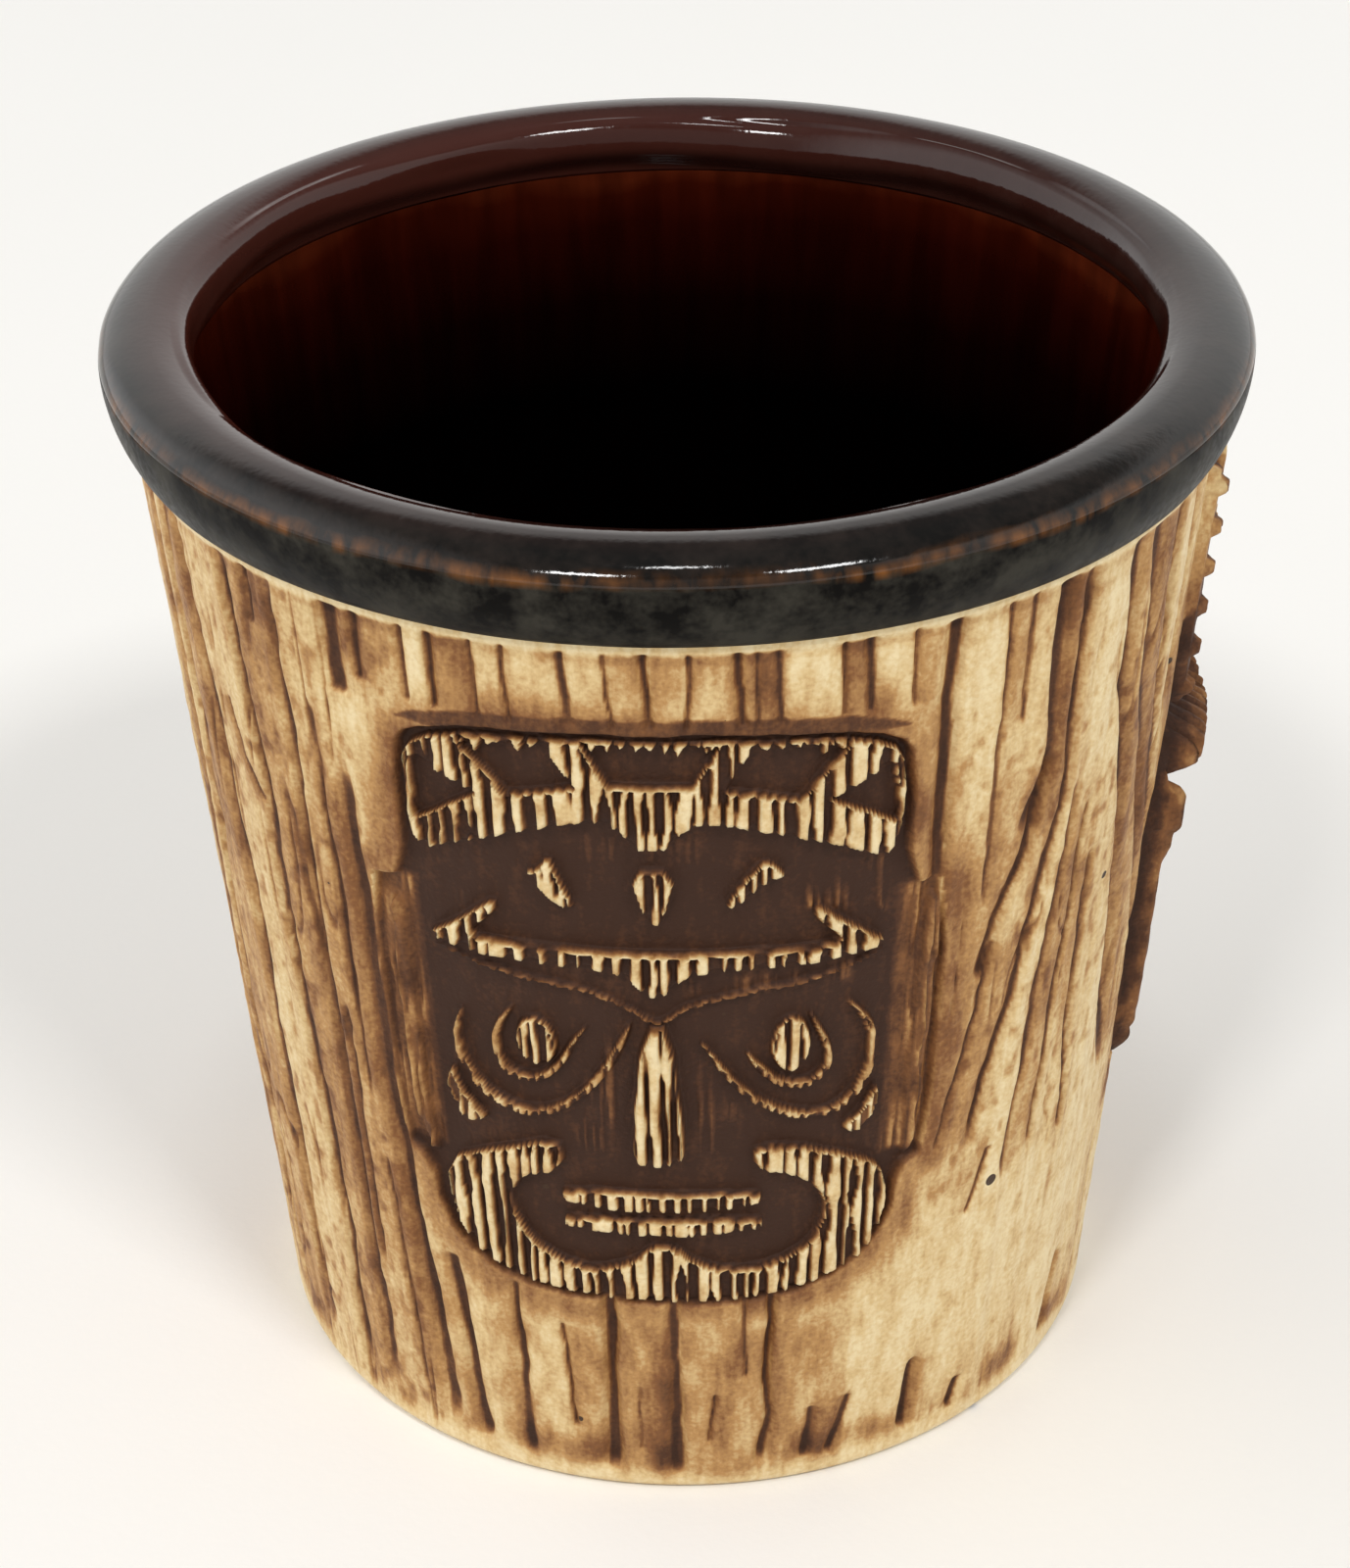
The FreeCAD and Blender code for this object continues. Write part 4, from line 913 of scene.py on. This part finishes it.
# ---- materials -----------------------------------------------------------------------------------
class Graph:
    """The shader nodes of a material or of the world, and short ways to add to them."""

    def __init__(self, owner):
        owner.use_nodes = True
        self.nodes, self.links = owner.node_tree.nodes, owner.node_tree.links

    def feed(self, socket, value):
        """Sets a socket to a number or a colour, or links it to another node."""
        if isinstance(value, (int, float)):
            socket.default_value = value
        elif isinstance(value, tuple):
            socket.default_value = (*value, 1)
        else:
            self.links.new(value, socket)

    def coords(self, kind="Object"):
        return self.nodes.new("ShaderNodeTexCoord").outputs[kind]

    def noise(self, coords, scale, detail, stretch=None):
        node = self.nodes.new("ShaderNodeTexNoise")
        node.inputs["Scale"].default_value = scale
        node.inputs["Detail"].default_value = detail
        if stretch:
            mapping = self.nodes.new("ShaderNodeMapping")
            mapping.inputs["Scale"].default_value = stretch
            self.links.new(coords, mapping.inputs["Vector"])
            coords = mapping.outputs["Vector"]
        self.links.new(coords, node.inputs["Vector"])
        return node.outputs["Fac"]

    def ramp(self, value, *stops):
        node = self.nodes.new("ShaderNodeValToRGB")
        elements = node.color_ramp.elements
        elements[0].position, elements[0].color = stops[0][0], (*stops[0][1], 1)
        elements[1].position, elements[1].color = stops[-1][0], (*stops[-1][1], 1)
        for position, colour in stops[1:-1]:
            elements.new(position).color = (*colour, 1)
        self.links.new(value, node.inputs["Fac"])
        return node.outputs["Color"]

    def grey_ramp(self, value, *stops):
        return self.ramp(value, *((position, (tone, tone, tone)) for position, tone in stops))

    def maths(self, operation, *values, clamp=False):
        node = self.nodes.new("ShaderNodeMath")
        node.operation = operation
        node.use_clamp = clamp
        for socket, value in zip(node.inputs, values):
            self.feed(socket, value)
        return node.outputs[0]

    def fading(self, distance, reach):
        """1 where the distance is nothing, falling to 0 at the reach."""
        return self.maths("SUBTRACT", 1.0, self.maths("DIVIDE", distance, reach), clamp=True)

    def mix(self, share, first, second, blend="MIX"):
        node = self.nodes.new("ShaderNodeMix")
        node.data_type = "RGBA"
        node.blend_type = blend
        for place, value in ((0, share), (6, first), (7, second)):
            self.feed(node.inputs[place], value)
        return node.outputs[2]

    def apart(self, vector):
        """The x, y and z of a vector."""
        parts = self.nodes.new("ShaderNodeSeparateXYZ")
        self.links.new(vector, parts.inputs[0])
        return parts.outputs

    def radius(self, coords):
        x, y, _ = self.apart(coords)
        squares = self.maths("ADD", self.maths("MULTIPLY", x, x), self.maths("MULTIPLY", y, y))
        return self.maths("SQRT", squares)

    def surface(self, colour, roughness, relief, relief_depth, relief_strength, gloss=0.5):
        """Wires up the material's surface; the relief's depth is in metres."""
        shader = self.nodes["Principled BSDF"]
        bump = self.nodes.new("ShaderNodeBump")
        bump.inputs["Distance"].default_value = relief_depth
        bump.inputs["Strength"].default_value = relief_strength
        self.links.new(relief, bump.inputs["Height"])
        self.links.new(bump.outputs["Normal"], shader.inputs["Normal"])
        self.feed(shader.inputs["Base Color"], colour)
        self.feed(shader.inputs["Roughness"], roughness)
        shader.inputs["Specular IOR Level"].default_value = gloss


def carved_clay(material):
    """Cream clay, rubbed with a brown stain that stays in the cuts, under a thin satin glaze; the stain map
    also brings painted shade beside the grooves.
    """
    graph = Graph(material)
    coords = graph.coords()
    # Reads the stain map, which also holds painted shade beside the grooves.
    worn = graph.nodes.new("ShaderNodeAttribute")
    worn.attribute_name = "stain_and_shade"
    blotch = graph.noise(coords, 240, 8)
    streak = graph.noise(coords, 1100, 6, (1, 1, 0.25))
    grit = graph.noise(coords, 2200, 5)
    level = worn.outputs["Fac"]
    for texture, share in ((blotch, 0.26), (streak, 0.36), (grit, 0.34)):
        level = graph.maths("MULTIPLY_ADD", texture, share, level)
    level = graph.maths("SUBTRACT", level, 0.44, clamp=True)
    colour = graph.ramp(
        level, (0.0, (0.79, 0.645, 0.385)), (0.16, (0.67, 0.485, 0.235)), (0.34, (0.46, 0.25, 0.088)),
        (0.56, (0.22, 0.090, 0.029)), (0.80, (0.085, 0.032, 0.0125)), (1.0, (0.040, 0.0155, 0.0075)),
    )
    specks = graph.nodes.new("ShaderNodeTexVoronoi")
    specks.inputs["Scale"].default_value = 170
    graph.links.new(coords, specks.inputs["Vector"])
    threshold = graph.maths("MULTIPLY_ADD", graph.noise(coords, 220, 1), 0.5, -0.27)
    speck = graph.maths("LESS_THAN", specks.outputs["Distance"], threshold)
    colour = graph.mix(speck, colour, (0.05, 0.025, 0.012))
    roughness = graph.grey_ramp(level, (0.0, 0.40), (1.0, 0.66))
    relief = graph.maths("MULTIPLY_ADD", streak, 0.7, grit)
    graph.surface(colour, roughness, relief, 0.00014, 0.8, gloss=0.22)


def bare_clay(material):
    """Unglazed clay of the foot and the recessed base: pale, dry and slightly gritty."""
    graph = Graph(material)
    coords = graph.coords()
    grit = graph.noise(coords, 2400, 4)
    level = graph.maths("MULTIPLY_ADD", grit, 0.35, graph.noise(coords, 90, 5))
    colour = graph.ramp(
        level, (0.35, (0.42, 0.27, 0.13)), (0.62, (0.66, 0.5, 0.29)), (0.9, (0.78, 0.65, 0.43)),
    )
    roughness = graph.grey_ramp(grit, (0.2, 0.7), (0.8, 0.88))
    graph.surface(colour, roughness, grit, 0.00015, 1.0)


def thinner_side(graph, coords):
    """How thin the glaze has run on the lip: most at the back left, least at the front right."""
    x, y, _ = graph.apart(coords)
    lean = graph.maths("MULTIPLY_ADD", x, -6.5, graph.maths("MULTIPLY", y, 5.0))
    return graph.maths("ADD", lean, 0.5, clamp=True)


def lip_glaze(material, smoothest, roughest, gloss, pale_tone):
    """Near-black brown glaze that breaks to amber along the outer edge and to maroon near the mouth."""
    graph = Graph(material)
    coords = graph.coords()
    radius = graph.radius(coords)
    patchy = graph.noise(coords, 90, 5)
    runs = graph.noise(coords, 620, 6, (1, 1, 0.16))
    pits = graph.noise(coords, 1500, 4)
    blots = graph.noise(coords, 260, 6)
    mottle = graph.maths("MULTIPLY_ADD", pits, 0.3, graph.maths("MULTIPLY", blots, 0.75))
    colour = graph.ramp(mottle, (0.42, (0.003, 0.0025, 0.002)), (0.66, pale_tone))

    below_edge = graph.maths("SUBTRACT", graph.apart(coords)[2], (HEIGHT - AMBER_DROP) * MM)
    drift = graph.maths("MULTIPLY_ADD", patchy, 0.0024, -0.0012)
    off = graph.maths("ABSOLUTE", graph.maths("ADD", below_edge, drift))
    outer = graph.maths("GREATER_THAN", radius, AMBER_R * MM)
    share = graph.maths("MULTIPLY", graph.fading(off, AMBER_HALF * MM), outer)
    for texture, clear, full in ((runs, (0.38, 0), (0.62, 1)), (patchy, (0.35, 0.1), (0.6, 1))):
        share = graph.maths("MULTIPLY", share, graph.grey_ramp(texture, clear, full))
    colour = graph.mix(share, colour, (0.17, 0.064, 0.016))

    from_mouth = graph.maths("SUBTRACT", radius, (LIP_IN_R + 0.4) * MM)
    inward = graph.fading(from_mouth, MAROON_REACH * MM)
    thinned = graph.maths("MULTIPLY", inward, thinner_side(graph, coords))
    colour = graph.mix(thinned, colour, (0.060, 0.015, 0.010))
    roughness = graph.grey_ramp(pits, (0.3, smoothest), (0.75, roughest))
    graph.surface(colour, roughness, pits, 0.00003, 0.5, gloss)


def inner_glaze(material):
    """Deep oxblood glaze, darker towards the bottom and amber-red in streaks near the mouth."""
    graph = Graph(material)
    coords = graph.coords()
    patchy = graph.noise(coords, 60, 5)
    runs = graph.noise(coords, 380, 5, (1, 1, 0.10))
    dark_below = 74 * MM
    above = graph.maths("SUBTRACT", graph.apart(coords)[2], dark_below)
    rise = graph.maths("DIVIDE", above, MOUTH_Z * MM - dark_below, clamp=True)
    uneven = graph.maths("MULTIPLY_ADD", patchy, 0.5, -0.25)
    level = graph.maths("ADD", rise, graph.maths("MULTIPLY", uneven, rise), clamp=True)
    colour = graph.ramp(
        level, (0.0, (0.0006, 0.0002, 0.0002)), (0.4, (0.006, 0.0006, 0.0003)),
        (0.75, (0.022, 0.0020, 0.0008)), (0.93, (0.045, 0.0050, 0.0014)), (1.0, (0.085, 0.013, 0.004)),
    )
    streak = graph.grey_ramp(runs, (0.35, 0.55), (0.7, 1.0))
    colour = graph.mix(1.0, colour, streak, "MULTIPLY")
    roughness = graph.grey_ramp(patchy, (0.3, 0.06), (0.7, 0.12))
    graph.surface(colour, roughness, runs, 0.00005, 0.5, gloss=0.2)


def pale_floor(material):
    """Warm white table top with a fine grain."""
    graph = Graph(material)
    coords = graph.coords()
    cloud, fine = graph.noise(coords, 3, 3), graph.noise(coords, 900, 3)
    colour = graph.ramp(cloud, (0.3, (0.875, 0.862, 0.832)), (0.7, (0.895, 0.884, 0.858)))
    graph.surface(colour, 0.7, fine, 0.0001, 0.3)


def made(build, name, **looks):
    """A material, and the surface that the given function builds for it."""
    material = bpy.data.materials.new(name)
    build(material, **looks)
    return material


# ---- stage, light and camera ---------------------------------------------------------------------
def build_floor():
    half = 3.0
    mesh = bpy.data.meshes.new("floor")
    corners = [(*corner, 0) for corner in box_outline(-half, half, -half, half)]
    mesh.from_pydata(corners, [], [(0, 1, 2, 3)])
    floor = bpy.data.objects.new("floor", mesh)
    bpy.context.collection.objects.link(floor)
    mesh.materials.append(made(pale_floor, "pale_floor"))


def window_lamp(name, azimuth, elevation, distance, size, radiance):
    """An oblong lamp that faces the mug, placed by its direction: azimuth from the front towards +X."""
    turn, rise = math.radians(azimuth), math.radians(elevation)
    target = Vector((0, 0, 0.09))
    direction = Vector((math.sin(turn) * math.cos(rise), -math.cos(turn) * math.cos(rise), math.sin(rise)))
    data = bpy.data.lights.new(name, "AREA")
    data.shape = "RECTANGLE"
    data.size, data.size_y = size
    data.energy = radiance * math.pi * size[0] * size[1]
    lamp = bpy.data.objects.new(name, data)
    bpy.context.collection.objects.link(lamp)
    lamp.location = target + distance * direction
    lamp.rotation_euler = (-direction).to_track_quat("-Z", "Y").to_euler()


def build_world():
    """A plain room: pale walls, dim above, dimmer in front and pale to the top on the left."""
    world = bpy.data.worlds.new("soft_room")
    bpy.context.scene.world = world
    graph = Graph(world)
    x, y, z = graph.apart(graph.coords("Generated"))
    pale = (0.98, 0.97, 0.95)
    dim, ceiling = (0.20, 0.198, 0.195), (0.28, 0.278, 0.275)
    walls = graph.ramp(z, (0.0, pale), (0.58, pale), (0.70, dim), (1.0, ceiling))
    front = graph.grey_ramp(graph.maths("MULTIPLY", y, -1.0), (0.4, 1), (0.8, 0.40))
    walls = graph.mix(1.0, walls, front, "MULTIPLY")
    left_side = graph.grey_ramp(graph.maths("MULTIPLY", x, -1.0), (0.3, 0), (0.75, 1.5))
    background = graph.nodes["Background"]
    graph.feed(background.inputs["Color"], graph.mix(1.0, walls, left_side, "LIGHTEN"))
    background.inputs["Strength"].default_value = 1.08


def build_lights():
    window_lamp("window_left", -19, 50, 2.8, (0.42, 0.38), 41)
    window_lamp("window_right", 36, 50, 2.8, (0.62, 0.38), 35)
    window_lamp("ceiling_lamp", 0, 80, 2.8, (0.26, 0.20), 30)


def build_camera():
    """The viewing point: a hand's height above the mug, looking down at it, slightly right of its front."""
    data = bpy.data.cameras.new("camera")
    data.lens = 83.35
    data.sensor_width = 36
    data.clip_start = 0.01
    camera = bpy.data.objects.new("camera", data)
    bpy.context.collection.objects.link(camera)
    yaw, pitch, roll = math.radians(3.31), math.radians(31.42), math.radians(-0.778)
    turn = Euler((math.pi / 2 - pitch, 0, yaw)).to_matrix() @ Euler((0, 0, roll)).to_matrix()
    camera.rotation_euler = turn.to_euler()
    camera.location = (16.14 * MM, -290.45 * MM, 229.75 * MM)
    bpy.context.scene.camera = camera


def main():
    bpy.context.scene.view_settings.view_transform = "Standard"
    carve_bark()
    carve_edges()
    carve_front_mask()
    carve_right_mask()
    carve_left_mask()
    build_wall(made(carved_clay, "carved_clay"))
    top_glaze = made(
        lip_glaze, "lip_glaze", smoothest=0.05, roughest=0.11, gloss=0.36, pale_tone=(0.014, 0.010, 0.008))
    band_glaze = made(
        lip_glaze, "band_glaze", smoothest=0.30, roughest=0.50, gloss=0.05, pale_tone=(0.034, 0.031, 0.024))
    build_lip(top_glaze, band_glaze)
    build_inner_glaze(made(inner_glaze, "inner_glaze"))
    build_underside(made(bare_clay, "bare_clay"))
    build_floor()
    build_world()
    build_lights()
    build_camera()


main()
